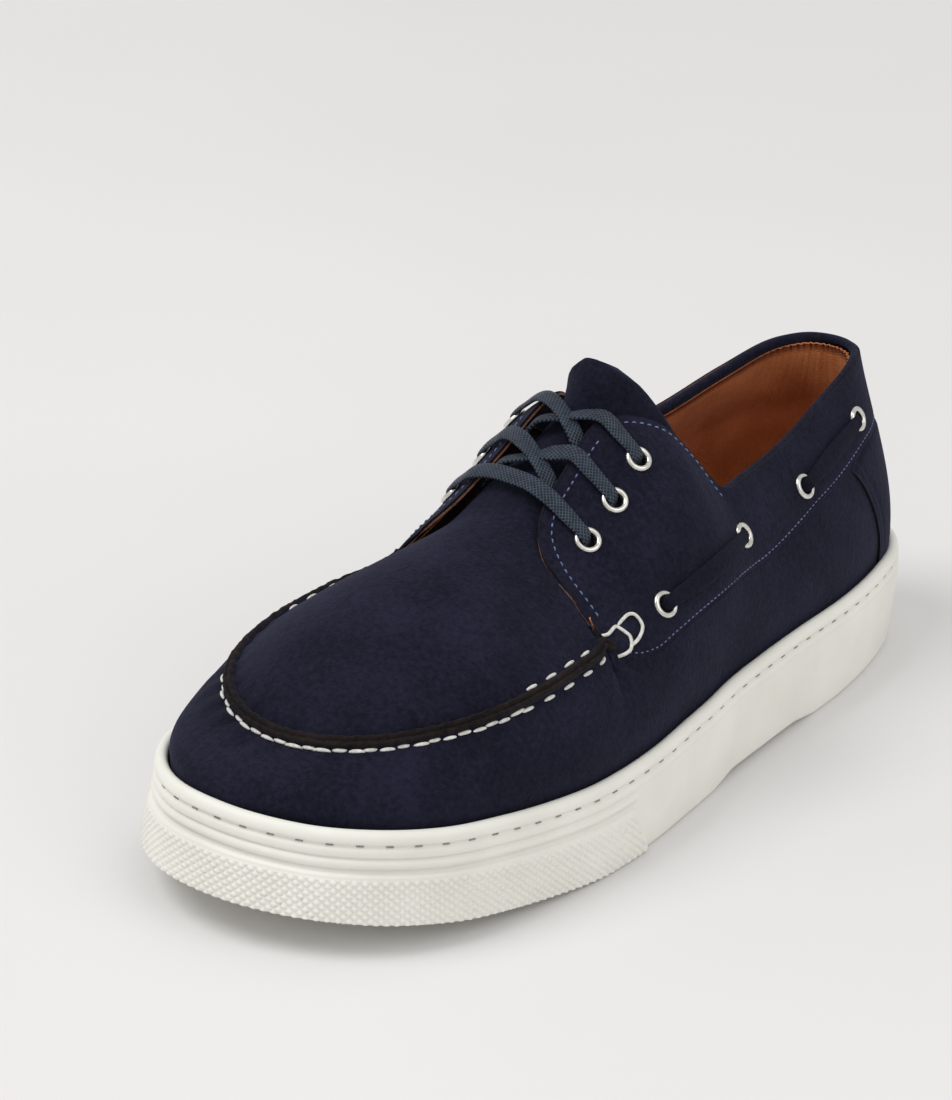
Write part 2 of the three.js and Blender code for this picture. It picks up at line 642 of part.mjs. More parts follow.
// Where a strand comes up: a little above the eyelet named, inside the eyestay's edge.
const RISE = { ahead: 0.45, inside: 0.32 };
function besideEdge({ s }) {
  const edge = section(s < TOE ? s - RISE.ahead : s + RISE.ahead).edge;
  const x = lerp(edge.x, centreX(edge.y), RISE.inside);
  return { at: new THREE.Vector3(x, edge.y, edge.z + LACE.start), normal: UP.clone() };
}

// A round-edged thong along the wall from one side eyelet to the next.
const HEIGHT_SCALE = 5;           // stations as long as the wall is high
function makeThong(stops, inner) {
  const bends = stops.map(({ station, up }) => (
    new THREE.Vector3(inner ? TOTAL - station : station, up * HEIGHT_SCALE, 0)
  ));
  const line = new THREE.CatmullRomCurve3(bends, false, 'chordal');
  const lift = THONG.clear + THONG.thick / 2;
  const fine = span(0, 1, 60).map((t) => {
    const { x: s, y: high } = line.getPointAt(t);
    const normal = normalOf(wallPoint, s, high / HEIGHT_SCALE);
    return { at: wallPoint(s, high / HEIGHT_SCALE).addScaledVector(normal, lift), normal };
  });
  const clear = EYELET.rim + GAP;
  const [first, last] = [fine[0].at, fine.at(-1).at];
  const free = fine.filter((p) => p.at.distanceTo(first) > clear && p.at.distanceTo(last) > clear);
  const route = span(0, free.length - 1, THONG.runs).map((i) => free[Math.round(i)]);
  return strap(route, THONG.width, THONG.thick, THONG.runs);
}

// ---------------------------------------------------------------- the shoe
const SUEDE = 0x1b1c30;
const RUBBER = 0xe9e8df;
const LINING = 0xb46a3c;
const NICKEL = 0xc9c8c4;
const LACE_BLUE = 0x3c4655;

const group = new THREE.Group();
function addPiece(name, manifold, color, roughness, metalness = 0) {
  const material = new THREE.MeshStandardMaterial({ color, roughness, metalness });
  const mesh = new THREE.Mesh(geometryOf(manifold), material);
  mesh.name = name;
  group.add(mesh);
}

addPiece('outsole', makeSole(), RUBBER, 0.6);
addPiece('insole', crossSolid(insoleSide), LINING, 0.8);
addPiece('upper', makeUpper(), SUEDE, 0.95);
addPiece('tongue', makeTongue(), SUEDE, 0.95);
addPiece('heel_counter', makeCounter(), SUEDE, 0.95);
for (const [kind, list] of [['lace', LACE_EYELETS], ['side', SIDE_EYELETS]]) {
  list.forEach((eyelet, i) => {
    const [outer, inner] = pairOf(eyelet);
    addPiece(`${kind}_eyelet_outer_${i + 1}`, makeEyelet(outer), NICKEL, 0.3, 1);
    addPiece(`${kind}_eyelet_inner_${i + 1}`, makeEyelet(inner), NICKEL, 0.3, 1);
  });
}
addPiece('lace_bar', makeBar(), LACE_BLUE, 0.7);
addPiece('lace_cross_lower', makeCross(LACE_EYELETS[0], LACE_EYELETS[1]), LACE_BLUE, 0.7);
addPiece('lace_cross_upper', makeCross(LACE_EYELETS[1], LACE_EYELETS[2]), LACE_BLUE, 0.7);
for (const [end, stops] of Object.entries(THONGS)) {
  addPiece(`thong_outer_${end}`, makeThong(stops, false), SUEDE, 0.9);
  addPiece(`thong_inner_${end}`, makeThong(stops, true), SUEDE, 0.9);
}

// The origin lies below the middle of the shoe, on the floor.
const middle = new THREE.Box3().setFromObject(group).getCenter(new THREE.Vector3());
for (const mesh of group.children) mesh.geometry.translate(-middle.x, -middle.y, 0);

export default group;
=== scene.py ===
"""Boat shoe for the left foot: the looks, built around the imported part.

Sizes are millimetres in the last's own frame: +Z up, toe towards -Y, the outer side of
the foot towards +X. to_metres() takes them to the part's frame.
"""
import math

import bmesh
import bpy
import numpy as np
from mathutils import Matrix, Vector


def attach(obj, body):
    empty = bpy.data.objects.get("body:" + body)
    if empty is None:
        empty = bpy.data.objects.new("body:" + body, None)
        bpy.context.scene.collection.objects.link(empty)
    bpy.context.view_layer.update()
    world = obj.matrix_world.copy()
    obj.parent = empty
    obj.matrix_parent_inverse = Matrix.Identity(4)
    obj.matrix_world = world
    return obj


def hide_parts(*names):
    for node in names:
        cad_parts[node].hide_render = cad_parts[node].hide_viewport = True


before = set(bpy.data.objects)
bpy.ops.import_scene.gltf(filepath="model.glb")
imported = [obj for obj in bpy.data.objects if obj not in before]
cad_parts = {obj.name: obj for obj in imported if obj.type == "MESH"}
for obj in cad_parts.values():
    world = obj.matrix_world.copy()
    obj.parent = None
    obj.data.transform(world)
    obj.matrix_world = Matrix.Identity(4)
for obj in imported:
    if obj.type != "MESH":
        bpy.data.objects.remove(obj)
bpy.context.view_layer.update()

# ------------------------------------------------------------------ driving dimensions
MM = 0.001
ORIGIN = np.array([2.095, -1.670, 0.0])     # the part's origin in the last's frame
WALL = 2.2              # suede and lining of the upper
SUEDE = 1.4             # thickness of one layer of suede
SEAT_DEPTH = 3.0        # how far the upper reaches down into the sole
INSOLE_THICK = 3.4
GAP = 0.35              # clearance between pieces that lie side by side
PROUD = 0.7             # the quarters stand this far over the wall
EYELET = {"rim": 4.1, "bore": 2.3, "proud": 0.95, "deep": 3.0}
LACE = {"width": 5.3, "thick": 1.6, "deep": 2.9}
THONG = {"width": 5.6, "thick": 2.7, "deep": 1.3}

# Stations round the last, heel centre to toe tip, the same for both sides of the foot.
# Feather line: y, lat and med (distance to the outer and inner side), z. Upper edge of
# the wall: ty, tl, tm, tz. lean, tip: degrees out at its foot and in at its edge.
STATIONS = [
    # y, lat, med, z, ty, tl, tm, tz, lean, tip
    (145.0, 0.0, 0.0, 31.5, 138.5, 0.0, 0.0, 91.0, 3, 10),
    (139.0, 20.0, 20.0, 31.5, 134.0, 10.0, 10.5, 91.0, 3, 13),
    (128.5, 29.5, 29.5, 31.5, 123.5, 15.5, 16.5, 90.0, 3, 18),
    (111.0, 36.0, 36.3, 31.5, 103.0, 19.0, 20.5, 85.5, 3, 26),
    (86.0, 40.8, 38.3, 31.3, 76.0, 23.0, 23.5, 80.0, 4, 30),
    (58.0, 42.8, 37.3, 31.0, 52.0, 25.5, 25.5, 77.5, 5, 30),
    (42.0, 43.9, 37.0, 30.6, 39.5, 26.3, 26.5, 77.2, 5, 30),
    (33.0, 44.7, 37.0, 30.3, 35.0, 23.5, 25.5, 82.0, 5, 36),
    (25.0, 45.4, 37.2, 30.0, 29.0, 17.5, 22.5, 92.5, 5, 42),
    (16.0, 46.4, 37.7, 29.5, 21.0, 12.0, 19.5, 100.5, 5, 50),
    (4.0, 48.5, 38.4, 28.8, 7.0, 5.0, 16.0, 103.0, 5, 58),
    (-12.0, 51.0, 40.5, 28.4, -12.0, 6.0, 17.0, 92.5, 6, 58),
    (-27.0, 53.3, 43.0, 28.0, -27.0, 9.5, 19.5, 82.5, 8, 56),
    (-36.0, 54.2, 44.6, 27.9, -34.5, 18.0, 24.5, 75.0, 9, 52),
    (-42.0, 54.5, 45.6, 27.8, -35.0, 29.0, 31.5, 67.0, 10, 48),
    (-48.0, 54.7, 46.6, 27.8, -38.0, 40.5, 39.0, 58.5, 11, 42),
    (-60.0, 54.4, 48.6, 27.9, -54.0, 43.3, 41.8, 57.0, 12, 44),
    (-76.0, 52.5, 50.0, 28.8, -70.0, 42.6, 43.2, 55.5, 11, 48),
    (-93.0, 49.6, 49.6, 30.5, -86.0, 39.5, 42.3, 54.0, 11, 50),
    (-110.0, 44.8, 46.4, 32.3, -100.0, 33.0, 38.3, 52.5, 10, 52),
    (-125.0, 35.8, 40.0, 34.2, -111.0, 24.3, 31.3, 51.0, 9, 54),
    (-136.5, 23.0, 30.0, 35.6, -118.5, 14.3, 22.3, 50.0, 8, 54),
    (-143.3, 7.5, 18.0, 36.8, -122.4, 4.2, 12.5, 49.4, 8, 54),
    (-145.0, -5.5, 5.5, 37.2, -123.3, -4.2, 4.2, 49.2, 8, 54),
]
TOE = len(STATIONS) - 1
THROAT = 15             # station of the throat corner, where the moccasin seam starts
FRONT_CORNER = 14.7     # how far forward the quarters reach
QUARTER_THICK = 1.3
SEWN_IN = 1.7           # the quarters' lower stitch line runs this far inside their edge
NOTCH = 6.6             # station of the notch between eyestay and collar
TOTAL = 2 * TOE

# Spine of the apron: station, y, z, rise of the apron from the seam, fall of the spine.
APRON = np.array([
    (15, -31.0, 84.0, 36, 0.25), (16, -52.0, 80.5, 38, 0.25), (17, -68.0, 77.0, 42, 0.26),
    (18, -81.0, 73.2, 45, 0.29), (19, -90.0, 69.8, 48, 0.35), (20, -95.5, 67.4, 50, 0.40),
    (21, -98.5, 66.0, 50, 0.42), (22, -100.0, 65.3, 50, 0.42), (23, -100.5, 65.0, 50, 0.42),
])
# Tongue sections: row, crown y and z, then for the outer and the inner side how far the side
# drops, the half width and how far the edge lies behind the crown.
TONGUE = np.array([
    (0, -30.2, 83.9, 3.2, 12.0, -1.4, 3.2, 12.0, -1.4), (1, -24.0, 85.6, 10.5, 17.0, 1.0, 10.5, 17.0, 1.0),
    (2, -12.0, 91.0, 14.0, 18.5, 5.0, 14.0, 18.0, 3.0), (3, 0.0, 97.8, 17.0, 19.5, 18.0, 17.0, 16.5, 8.0),
    (4, 7.0, 104.3, 20.0, 19.5, 28.0, 18.0, 14.5, 14.5), (5, 11.0, 110.5, 15.5, 17.0, 20.5, 12.0, 13.0, 9.0),
    (6, 13.0, 115.2, 6.5, 12.5, 9.5, 6.0, 10.0, 3.0), (7, 14.0, 117.5, 2.5, 6.0, 4.0, 2.5, 5.0, 1.5),
])
CENTRE = np.array([(-125, -4.2), (-60, -2.5), (-30, -4.5), (10, -4.5), (60, 0)])

# Eyelets as station and height up the wall.
LACE_EYELETS = [(11.53, 0.80), (10.73, 0.80), (10.03, 0.83)]
SIDE_EYELETS = [(10.95, 0.435), (6.2, 0.71), (4.08, 0.745), (2.49, 0.785)]
# Lower edge of the quarters: station and height up the wall.
QUARTER_EDGE = np.array([
    (0.0, 0.64), (1.2, 0.645), (2.42, 0.64), (3.38, 0.61), (3.91, 0.60), (4.98, 0.53), (5.8, 0.515),
    (7.69, 0.40), (9.25, 0.315), (10.13, 0.295), (10.76, 0.305), (11.42, 0.32), (11.79, 0.345),
    (12.12, 0.38), (12.39, 0.415), (12.8, 0.47), (13.4, 0.58), (14.0, 0.75), (14.55, 0.92), (15.0, 1.0),
])


# ------------------------------------------------------------------ curves and sections
def to_metres(points):
    return (np.asarray(points, float) - ORIGIN) * MM


def hermite(a, b, slope_a, slope_b, t):
    u = 1 - t
    return a * u * u * (1 + 2 * t) + b * t * t * (3 - 2 * t) + slope_a * t * u * u - slope_b * t * t * u


def column(table, name, x):
    """Column number `name` of a table at x in column 0, by a cubic through its rows."""
    keys, values = table[:, 0], table[:, name]
    last = len(keys) - 1
    x = np.clip(np.asarray(x, float), keys[0], keys[-1])
    i = np.clip(np.searchsorted(keys, x, side="right") - 1, 0, last - 1)
    before, after = np.maximum(i - 1, 0), np.minimum(i + 2, last)
    step = keys[i + 1] - keys[i]
    slope_a = (values[i + 1] - values[before]) / (keys[i + 1] - keys[before]) * step
    slope_b = (values[after] - values[i]) / (keys[after] - keys[i]) * step
    return hermite(values[i], values[i + 1], slope_a, slope_b, (x - keys[i]) / step)


def station_row(k):
    outer = k <= TOE
    y, lat, med, z, ty, tl, tm, tz, lean, tip = STATIONS[k if outer else TOTAL - k]
    return (lat if outer else -med, y, z, tl if outer else -tm, ty, tz, lean, tip)


def from_heel(s):
    """The station of a place on either side of the foot."""
    return np.minimum(s, TOTAL - s)


ROWS = np.array([station_row(k) for k in range(TOTAL)])
STEPS = np.sqrt(np.linalg.norm(np.roll(ROWS, -1, 0)[:, :6] - ROWS[:, :6], axis=1))
KNOTS = np.concatenate([[0], np.cumsum(STEPS)])


def knot(k):
    return KNOTS[k % TOTAL] + (k // TOTAL) * KNOTS[TOTAL]


def section(s):
    """Feather points, upper edge points and the two wall angles at places s."""
    s = np.asarray(s, float)
    k = np.floor(s).astype(int)
    t0, t1, t2, t3 = (knot(k + d)[..., None] for d in (-1, 0, 1, 2))
    p0, p1, p2, p3 = (ROWS[(k + d) % TOTAL] for d in (-1, 0, 1, 2))

    def tangent(a, b, c, before, after):
        return ((b - a) / before * after + (c - b) / after * before) / (before + after)

    run = t2 - t1
    slope_a = tangent(p0, p1, p2, t1 - t0, run) * run
    slope_b = tangent(p1, p2, p3, run, t3 - t2) * run
    v = hermite(p1, p2, slope_a, slope_b, (s - k)[..., None])
    return v[..., :3], v[..., 3:6], np.radians(v[..., 6:7]), np.radians(v[..., 7:8])


def unit(v):
    return v / np.maximum(np.linalg.norm(v, axis=-1, keepdims=True), 1e-9)


UP = np.array([0.0, 0.0, 1.0])


def outward(s):
    """Level direction pointing out of the foot."""
    d = 0.02
    along = section(s + d)[0] - section(s - d)[0]
    return unit(np.stack([-along[..., 1], along[..., 0], np.zeros_like(along[..., 0])], -1))


def bezier(a, b, c, d, t):
    u = 1 - t
    return a * u ** 3 + b * (3 * u * u * t) + c * (3 * u * t * t) + d * t ** 3


HANDLE = 0.36


def wall(s, up):
    """Outer face of the wall at place s and height up, 0 at the feather, 1 at the edge."""
    s, up = np.broadcast_arrays(np.asarray(s, float), np.asarray(up, float))
    foot, edge, lean, tip = section(s)
    out = outward(s)
    reach = np.linalg.norm(edge - foot, axis=-1, keepdims=True) * HANDLE
    low = foot + out * reach * np.sin(lean) + UP * reach * np.cos(lean)
    high = edge + out * reach * np.sin(tip) - UP * reach * np.cos(tip)
    t = np.clip(up, 0, 1)[..., None]
    return bezier(foot, low, high, edge, t) + UP * np.minimum(up, 0)[..., None] * SEAT_DEPTH


def normal_of(surface, a, b, lo=0.02, hi=0.98):
    d = 0.01
    a, b = np.broadcast_arrays(np.asarray(a, float), np.asarray(b, float))
    b = np.clip(b, lo, hi)
    da = surface(a + d, b) - surface(a - d, b)
    db = surface(a, b + d) - surface(a, b - d)
    return unit(np.cross(db, da))


def wall_normal(s, up):
    return normal_of(wall, s, up)


def wall_off(s, up, off):
    off = np.asarray(off, float)
    return wall(s, up) + wall_normal(s, up) * off[..., None]


def centre_x(y):
    return column(CENTRE, 1, y)


def apron(s, across):
    """Outer face of the apron at place s and across, 0 at the seam and 1 at the spine."""
    s, across = np.broadcast_arrays(np.asarray(s, float), np.asarray(across, float))
    edge = section(s)[1]
    y, z, rise, fall = (column(APRON, c, from_heel(s)) for c in (1, 2, 3, 4))
    spine = np.stack([centre_x(y), y, z], -1)
    inward = (spine - edge) * (1, 1, 0)
    reach = np.linalg.norm(inward, axis=-1, keepdims=True)
    inward = inward / reach
    rise = np.radians(rise)[..., None]
    low = edge + inward * (0.34 * reach * np.cos(rise)) + UP * (0.34 * reach * np.sin(rise))
    high = spine - inward * (0.42 * reach) - UP * (0.42 * reach * fall[..., None] * inward[..., 1:2])
    return bezier(edge, low, high, spine, across[..., None])


TONGUE_ARC = math.radians(72)


def tongue(row, across):
    """Outer face of the tongue at a section number and across, -1 inner to 1 outer edge."""
    row, across = np.broadcast_arrays(np.asarray(row, float), np.asarray(across, float))
    y, z = (column(TONGUE, c, row) for c in (1, 2))
    outer, inner = ([column(TONGUE, c, row) for c in part] for part in ((3, 4, 5), (6, 7, 8)))
    drop, half, back = (np.where(across > 0, a, b) for a, b in zip(outer, inner))
    angle = across * TONGUE_ARC
    fall = (1 - np.cos(angle)) / (1 - math.cos(TONGUE_ARC))
    x = centre_x(y) + half * np.sin(angle) / math.sin(TONGUE_ARC)
    return np.stack([x, y + back * fall, z - drop * fall], -1)


def length_along(points):
    """Distance run from the first point to each point of a line."""
    return np.concatenate([[0], np.cumsum(np.linalg.norm(np.diff(points, axis=0), axis=1))])


def read_along(at, run, table):
    """Rows of a table read at distances `at`, where run holds the distance of each row."""
    return np.stack([np.interp(at, run, values) for values in np.asarray(table).T], -1)


def smooth(a, b, x):
    t = np.clip((np.asarray(x, float) - a) / (b - a), 0, 1)
    return t * t * (3 - 2 * t)


def spline(points, n, closed=False):
    """n points evenly spaced along a smooth curve through the points given."""
    p = np.asarray(points, float)
    if closed:
        p = np.vstack([p[-1:], p, p[:2]])
    else:
        p = np.vstack([2 * p[:1] - p[1:2], p, 2 * p[-1:] - p[-2:-1]])
    out = []
    for i in range(1, len(p) - 2):
        t = np.linspace(0, 1, 24, endpoint=False)[:, None]
        a, b, c, d = p[i - 1], p[i], p[i + 1], p[i + 2]
        ab, bc, cd = (max(np.linalg.norm(v), 1e-6) ** 0.5 for v in (b - a, c - b, d - c))
        m1 = (c - b) + bc * ((b - a) / ab - (c - a) / (ab + bc))
        m2 = (c - b) + bc * ((d - c) / cd - (d - b) / (bc + cd))
        out.append(hermite(b, c, m1, m2, t))
    fine = np.vstack(out + [p[-2:-1]])
    run = length_along(fine)
    at = np.linspace(0, run[-1], n)
    return read_along(at, run, fine)


def through(rows, keys, x):
    """A smooth surface through whole rows of points, placed by keys and read at places x."""
    last = len(keys) - 1
    i = np.clip(np.searchsorted(keys, x, side="right") - 1, 0, last - 1)
    before, after = np.maximum(i - 1, 0), np.minimum(i + 2, last)
    step = keys[i + 1] - keys[i]
    slope_a = (rows[i + 1] - rows[before]) * (step / (keys[i + 1] - keys[before]))[:, None, None]
    slope_b = (rows[after] - rows[i]) * (step / (keys[after] - keys[i]))[:, None, None]
    return hermite(rows[i], rows[i + 1], slope_a, slope_b, ((x - keys[i]) / step)[:, None, None])


def even_places(a, b, step, up=1.0):
    """Places from a to b, about `step` mm apart along the wall at height up."""
    fine = np.linspace(a, b, 2000)
    run = length_along(wall(fine, up))
    n = max(2, int(round(run[-1] / step)) + 1)
    return np.interp(np.linspace(0, run[-1], n), run, fine)


def wall_height(s):
    """Straight distance from the feather line to the wall's upper edge."""
    return np.linalg.norm(wall(s, 1.0) - wall(s, 0.0), axis=-1)


QUARTER_LOW = QUARTER_EDGE * np.stack([np.ones(len(QUARTER_EDGE)), wall_height(QUARTER_EDGE[:, 0])], -1)


def quarter_low(s):
    """Height up the wall of the quarters' lower edge, which runs smoothly in millimetres."""
    return np.minimum(1, column(QUARTER_LOW, 1, s) / wall_height(s))


# ------------------------------------------------------------------ mesh building
def add_to_scene(name, data):
    obj = bpy.data.objects.new(name, data)
    bpy.context.scene.collection.objects.link(obj)
    return obj


def make_object(name, points, faces, materials, slots=None, uv=None, replaces=()):
    mesh = bpy.data.meshes.new(name)
    corners = [tuple(int(i) for i in face) for face in faces]
    mesh.from_pydata([tuple(p) for p in to_metres(points)], [], corners)
    for material in materials:
        mesh.materials.append(material)
    if slots is not None:
        mesh.polygons.foreach_set("material_index", np.asarray(slots, np.int32))
    mesh.polygons.foreach_set("use_smooth", [True] * len(mesh.polygons))
    if uv is not None:
        layer = mesh.uv_layers.new(name="mm")
        index = np.empty(len(mesh.loops), np.int32)
        mesh.loops.foreach_get("vertex_index", index)
        layer.data.foreach_set("uv", np.asarray(uv, float)[index].ravel())
    mesh.validate()
    mesh.update()
    obj = add_to_scene(name, mesh)
    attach(obj, "root")
    if replaces:
        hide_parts(*replaces)
    return obj


def grid_faces(rows, cols, close_rows=False, close_cols=False, start=0):
    i = np.arange(rows if close_rows else rows - 1)
    j = np.arange(cols if close_cols else cols - 1)
    i, j = np.meshgrid(i, j, indexing="ij")
    i, j = i.ravel(), j.ravel()
    i2, j2 = (i + 1) % rows, (j + 1) % cols
    return np.stack([i * cols + j, i2 * cols + j, i2 * cols + j2, i * cols + j2], -1) + start


def grid_normals(grid, close_rows=False):
    if close_rows:
        wide = np.vstack([grid[-1:], grid, grid[:1]])
        du = wide[2:] - wide[:-2]
    else:
        du = np.gradient(grid, axis=0)
    return unit(np.cross(np.gradient(grid, axis=1), du))


def sheet(grid, thick, close_rows=False, keep=None, normal=None):
    """A sheet of cloth or leather: the grid is its outer face. Returns points, faces and a
    mark for each face: 0 outer, 1 inner, 2 and 3 the cut edge's outer and inner half.
    keep drops cells from both faces."""
    rows, cols = grid.shape[:2]
    normal = grid_normals(grid, close_rows) if normal is None else normal
    inner = grid - normal * thick
    mid = grid - normal * (thick / 2)
    points = [grid.reshape(-1, 3), inner.reshape(-1, 3)]
    outer_faces = grid_faces(rows, cols, close_rows)
    if keep is not None:
        outer_faces = outer_faces[keep[:rows if close_rows else rows - 1].ravel()]
    inner_faces = outer_faces[:, ::-1] + rows * cols
    faces, marks = [outer_faces, inner_faces], [np.zeros(len(outer_faces)), np.ones(len(inner_faces))]
    size = 2 * rows * cols
    index = np.arange(rows * cols).reshape(rows, cols)
    borders = [(index[:, 0], mid[:, 0], grid[:, 0] - grid[:, 1], False, close_rows),
               (index[:, -1], mid[:, -1], grid[:, -1] - grid[:, -2], True, close_rows)]
    if not close_rows:
        borders += [(index[0], mid[0], grid[0] - grid[1], True, False),
                    (index[-1], mid[-1], grid[-1] - grid[-2], False, False)]
    for line, middle, out, flip, loop in borders:
        bulge = middle + unit(out) * thick * 0.3
        points.append(bulge)
        n = len(line)
        ids = size + np.arange(n)
        size += n
        a = np.arange(n if loop else n - 1)
        b = (a + 1) % n
        for mark, first, second in ((2, line, ids), (3, ids, line + rows * cols)):
            quad = np.stack([first[a], first[b], second[b], second[a]], -1)
            faces.append(quad[:, ::-1] if flip else quad)
            marks.append(np.full(len(quad), mark))
    return np.vstack(points), np.vstack(faces), np.concatenate(marks)


def end_caps(rows, cols):
    """The two faces that close the ends of a swept ring."""
    return [list(range(cols)), [rows * cols - 1 - j for j in range(cols)]]


def sweep(path, normals, profile, cap=True, closed=False):
    """A profile of (side, top) offsets swept along a path; each point may have its own."""
    path, normals = np.asarray(path, float), unit(np.asarray(normals, float))
    ahead = np.roll(path, -1, 0) - np.roll(path, 1, 0) if closed else np.gradient(path, axis=0)
    ahead = unit(ahead)
    side = unit(np.cross(normals, ahead))
    top = unit(np.cross(ahead, side))
    profile = np.asarray(profile, float)
    if profile.ndim == 2:
        profile = np.broadcast_to(profile, (len(path),) + profile.shape)
    grid = path[:, None] + side[:, None] * profile[..., :1] + top[:, None] * profile[..., 1:2]
    rows, cols = grid.shape[:2]
    faces = grid_faces(rows, cols, closed, True).tolist()
    points = grid.reshape(-1, 3)
    if cap and not closed:
        faces += end_caps(rows, cols)
    run = length_along(path)
    uv = np.stack([profile[..., 0], np.broadcast_to(run[:, None], profile.shape[:2])], -1).reshape(-1, 2)
    return points, faces, uv


def round_profile(width, thick, n=20, power=2.6):
    """A rounded oblong, as (side, top) offsets."""
    a = np.linspace(0, 2 * math.pi, n, endpoint=False)
    wave = np.stack([np.cos(a), np.sin(a)], -1)
    return np.sign(wave) * np.abs(wave) ** (2 / power) * (width / 2, thick / 2)


def join(parts):
    """Several (points, faces, uv) as one."""
    points, faces, uvs, start = [], [], [], 0
    for p, f, uv in parts:
        points.append(p)
        uvs.append(uv)
        faces += [[i + start for i in face] for face in f]
        start += len(p)
    return np.vstack(points), faces, np.vstack(uvs)


def make_joined(name, parts, material, replaces=()):
    """One piece of several swept lengths."""
    points, faces, uv = join(parts)
    make_object(name, points, faces, [material], uv=uv, replaces=replaces)


def between(left, right, t):
    """A grid of straight rows from one line of points to another."""
    return left[:, None] * (1 - t) + right[:, None] * t


def spokes(normal, angles):
    """Directions square to a normal, at the angles given round it."""
    along = unit(np.cross(normal, UP))
    over = np.cross(normal, along)
    return np.cos(angles)[:, None] * along + np.sin(angles)[:, None] * over


# ------------------------------------------------------------------ materials
def new_material(name):
    material = bpy.data.materials.new(name)
    material.use_nodes = True
    tree = material.node_tree
    return material, tree, tree.nodes["Principled BSDF"]


def link(tree, a, b):
    tree.links.new(a, b)


def set_inputs(node, values):
    for name, value in values.items():
        node.inputs[name].default_value = value


def noise_node(tree, scale, detail=3.0, roughness=0.5):
    node = tree.nodes.new("ShaderNodeTexNoise")
    set_inputs(node, {"Scale": scale, "Detail": detail, "Roughness": roughness})
    link(tree, object_place(tree), node.inputs["Vector"])
    return node.outputs["Fac"]


def object_place(tree):
    node = tree.nodes.get("place") or tree.nodes.new("ShaderNodeTexCoord")
    node.name = "place"
    return node.outputs["Object"]


def ramp(tree, fac, stops):
    node = tree.nodes.new("ShaderNodeValToRGB")
    elements = node.color_ramp.elements
    while len(elements) < len(stops):
        elements.new(0.5)
    for element, (at, colour) in zip(elements, stops):
        element.position = at
        element.color = (*colour, 1)
    link(tree, fac, node.inputs["Fac"])
    return node.outputs["Color"]


def math_node(tree, kind, a, b=None):
    node = tree.nodes.new("ShaderNodeMath")
    node.operation = kind
    for socket, value in zip(node.inputs, (a, b)):
        if value is None:
            continue
        if isinstance(value, (int, float)):
            socket.default_value = value
        else:
            link(tree, value, socket)
    return node.outputs[0]


def blend(tree, a, share_a, b, share_b):
    """Two values added up, each by its share."""
    return math_node(tree, "ADD", math_node(tree, "MULTIPLY", a, share_a),
                     math_node(tree, "MULTIPLY", b, share_b))


def sine(tree, value, pitch):
    return math_node(tree, "SINE", math_node(tree, "MULTIPLY", value, 2 * math.pi / pitch))


def base_colour(tree, shader, fac, stops):
    link(tree, ramp(tree, fac, stops), shader.inputs["Base Color"])


def bump(tree, shader, height, strength, distance, under=None):
    node = tree.nodes.new("ShaderNodeBump")
    set_inputs(node, {"Strength": strength, "Distance": distance * MM})
    link(tree, height, node.inputs["Height"])
    if under is not None:
        link(tree, under, node.inputs["Normal"])
    if shader is not None:
        link(tree, node.outputs["Normal"], shader.inputs["Normal"])
    return node.outputs["Normal"]


def suede_material(name, dark, light, sheen=0.10):
    """Napped suede: broad tonal brushing, a fine nap and a soft sheen."""
    material, tree, shader = new_material(name)
    broad = noise_node(tree, 48, 4, roughness=0.55)
    nap = noise_node(tree, 620, 4, roughness=0.75)
    base_colour(tree, shader, blend(tree, broad, 0.4, nap, 0.6), [(0.36, dark), (0.66, light)])
    set_inputs(shader, {"Roughness": 0.95, "Specular IOR Level": 0.12, "Sheen Weight": sheen,
                        "Sheen Roughness": 0.45, "Sheen Tint": (0.42, 0.46, 0.75, 1)})
    coarse = bump(tree, None, noise_node(tree, 330, 5, roughness=0.7), 0.6, 0.7)
    bump(tree, shader, noise_node(tree, 1000, 3, roughness=0.8), 0.9, 0.35, coarse)
    return material


def cloth_material(name, dark, light, pitch, sheen=0.3):
    """A woven textile, its threads worked out from the piece's place."""
    material, tree, shader = new_material(name)
    split = tree.nodes.new("ShaderNodeSeparateXYZ")
    link(tree, object_place(tree), split.inputs[0])
    weave = math_node(tree, "MULTIPLY", sine(tree, split.outputs[1], pitch * MM),
                      sine(tree, split.outputs[2], pitch * MM))
    blotch = noise_node(tree, 70, 3)
    fine = noise_node(tree, 1200, 2)
    base_colour(tree, shader, blend(tree, blotch, 0.7, fine, 0.3), [(0.32, dark), (0.68, light)])
    set_inputs(shader, {"Roughness": 0.9, "Specular IOR Level": 0.15, "Sheen Weight": sheen})
    under = bump(tree, None, weave, 0.35, 0.2)
    bump(tree, shader, fine, 0.4, 0.15, under)
    return material


def rubber_material():
    material, tree, shader = new_material("cup_sole_rubber")
    blotch = noise_node(tree, 40, 4)
    base_colour(tree, shader, blotch, [(0.3, (0.78, 0.77, 0.70)), (0.7, (0.86, 0.855, 0.79))])
    set_inputs(shader, {"Roughness": 0.5, "Specular IOR Level": 0.35, "Subsurface Weight": 0.12,
                        "Subsurface Radius": (1.2 * MM, 1.0 * MM, 0.8 * MM), "Subsurface Scale": 1.0})
    coarse = bump(tree, None, noise_node(tree, 120, 3), 0.12, 0.4)
    bump(tree, shader, noise_node(tree, 1800, 2), 0.18, 0.08, coarse)
    return material


BRAID_PITCH = 1.25


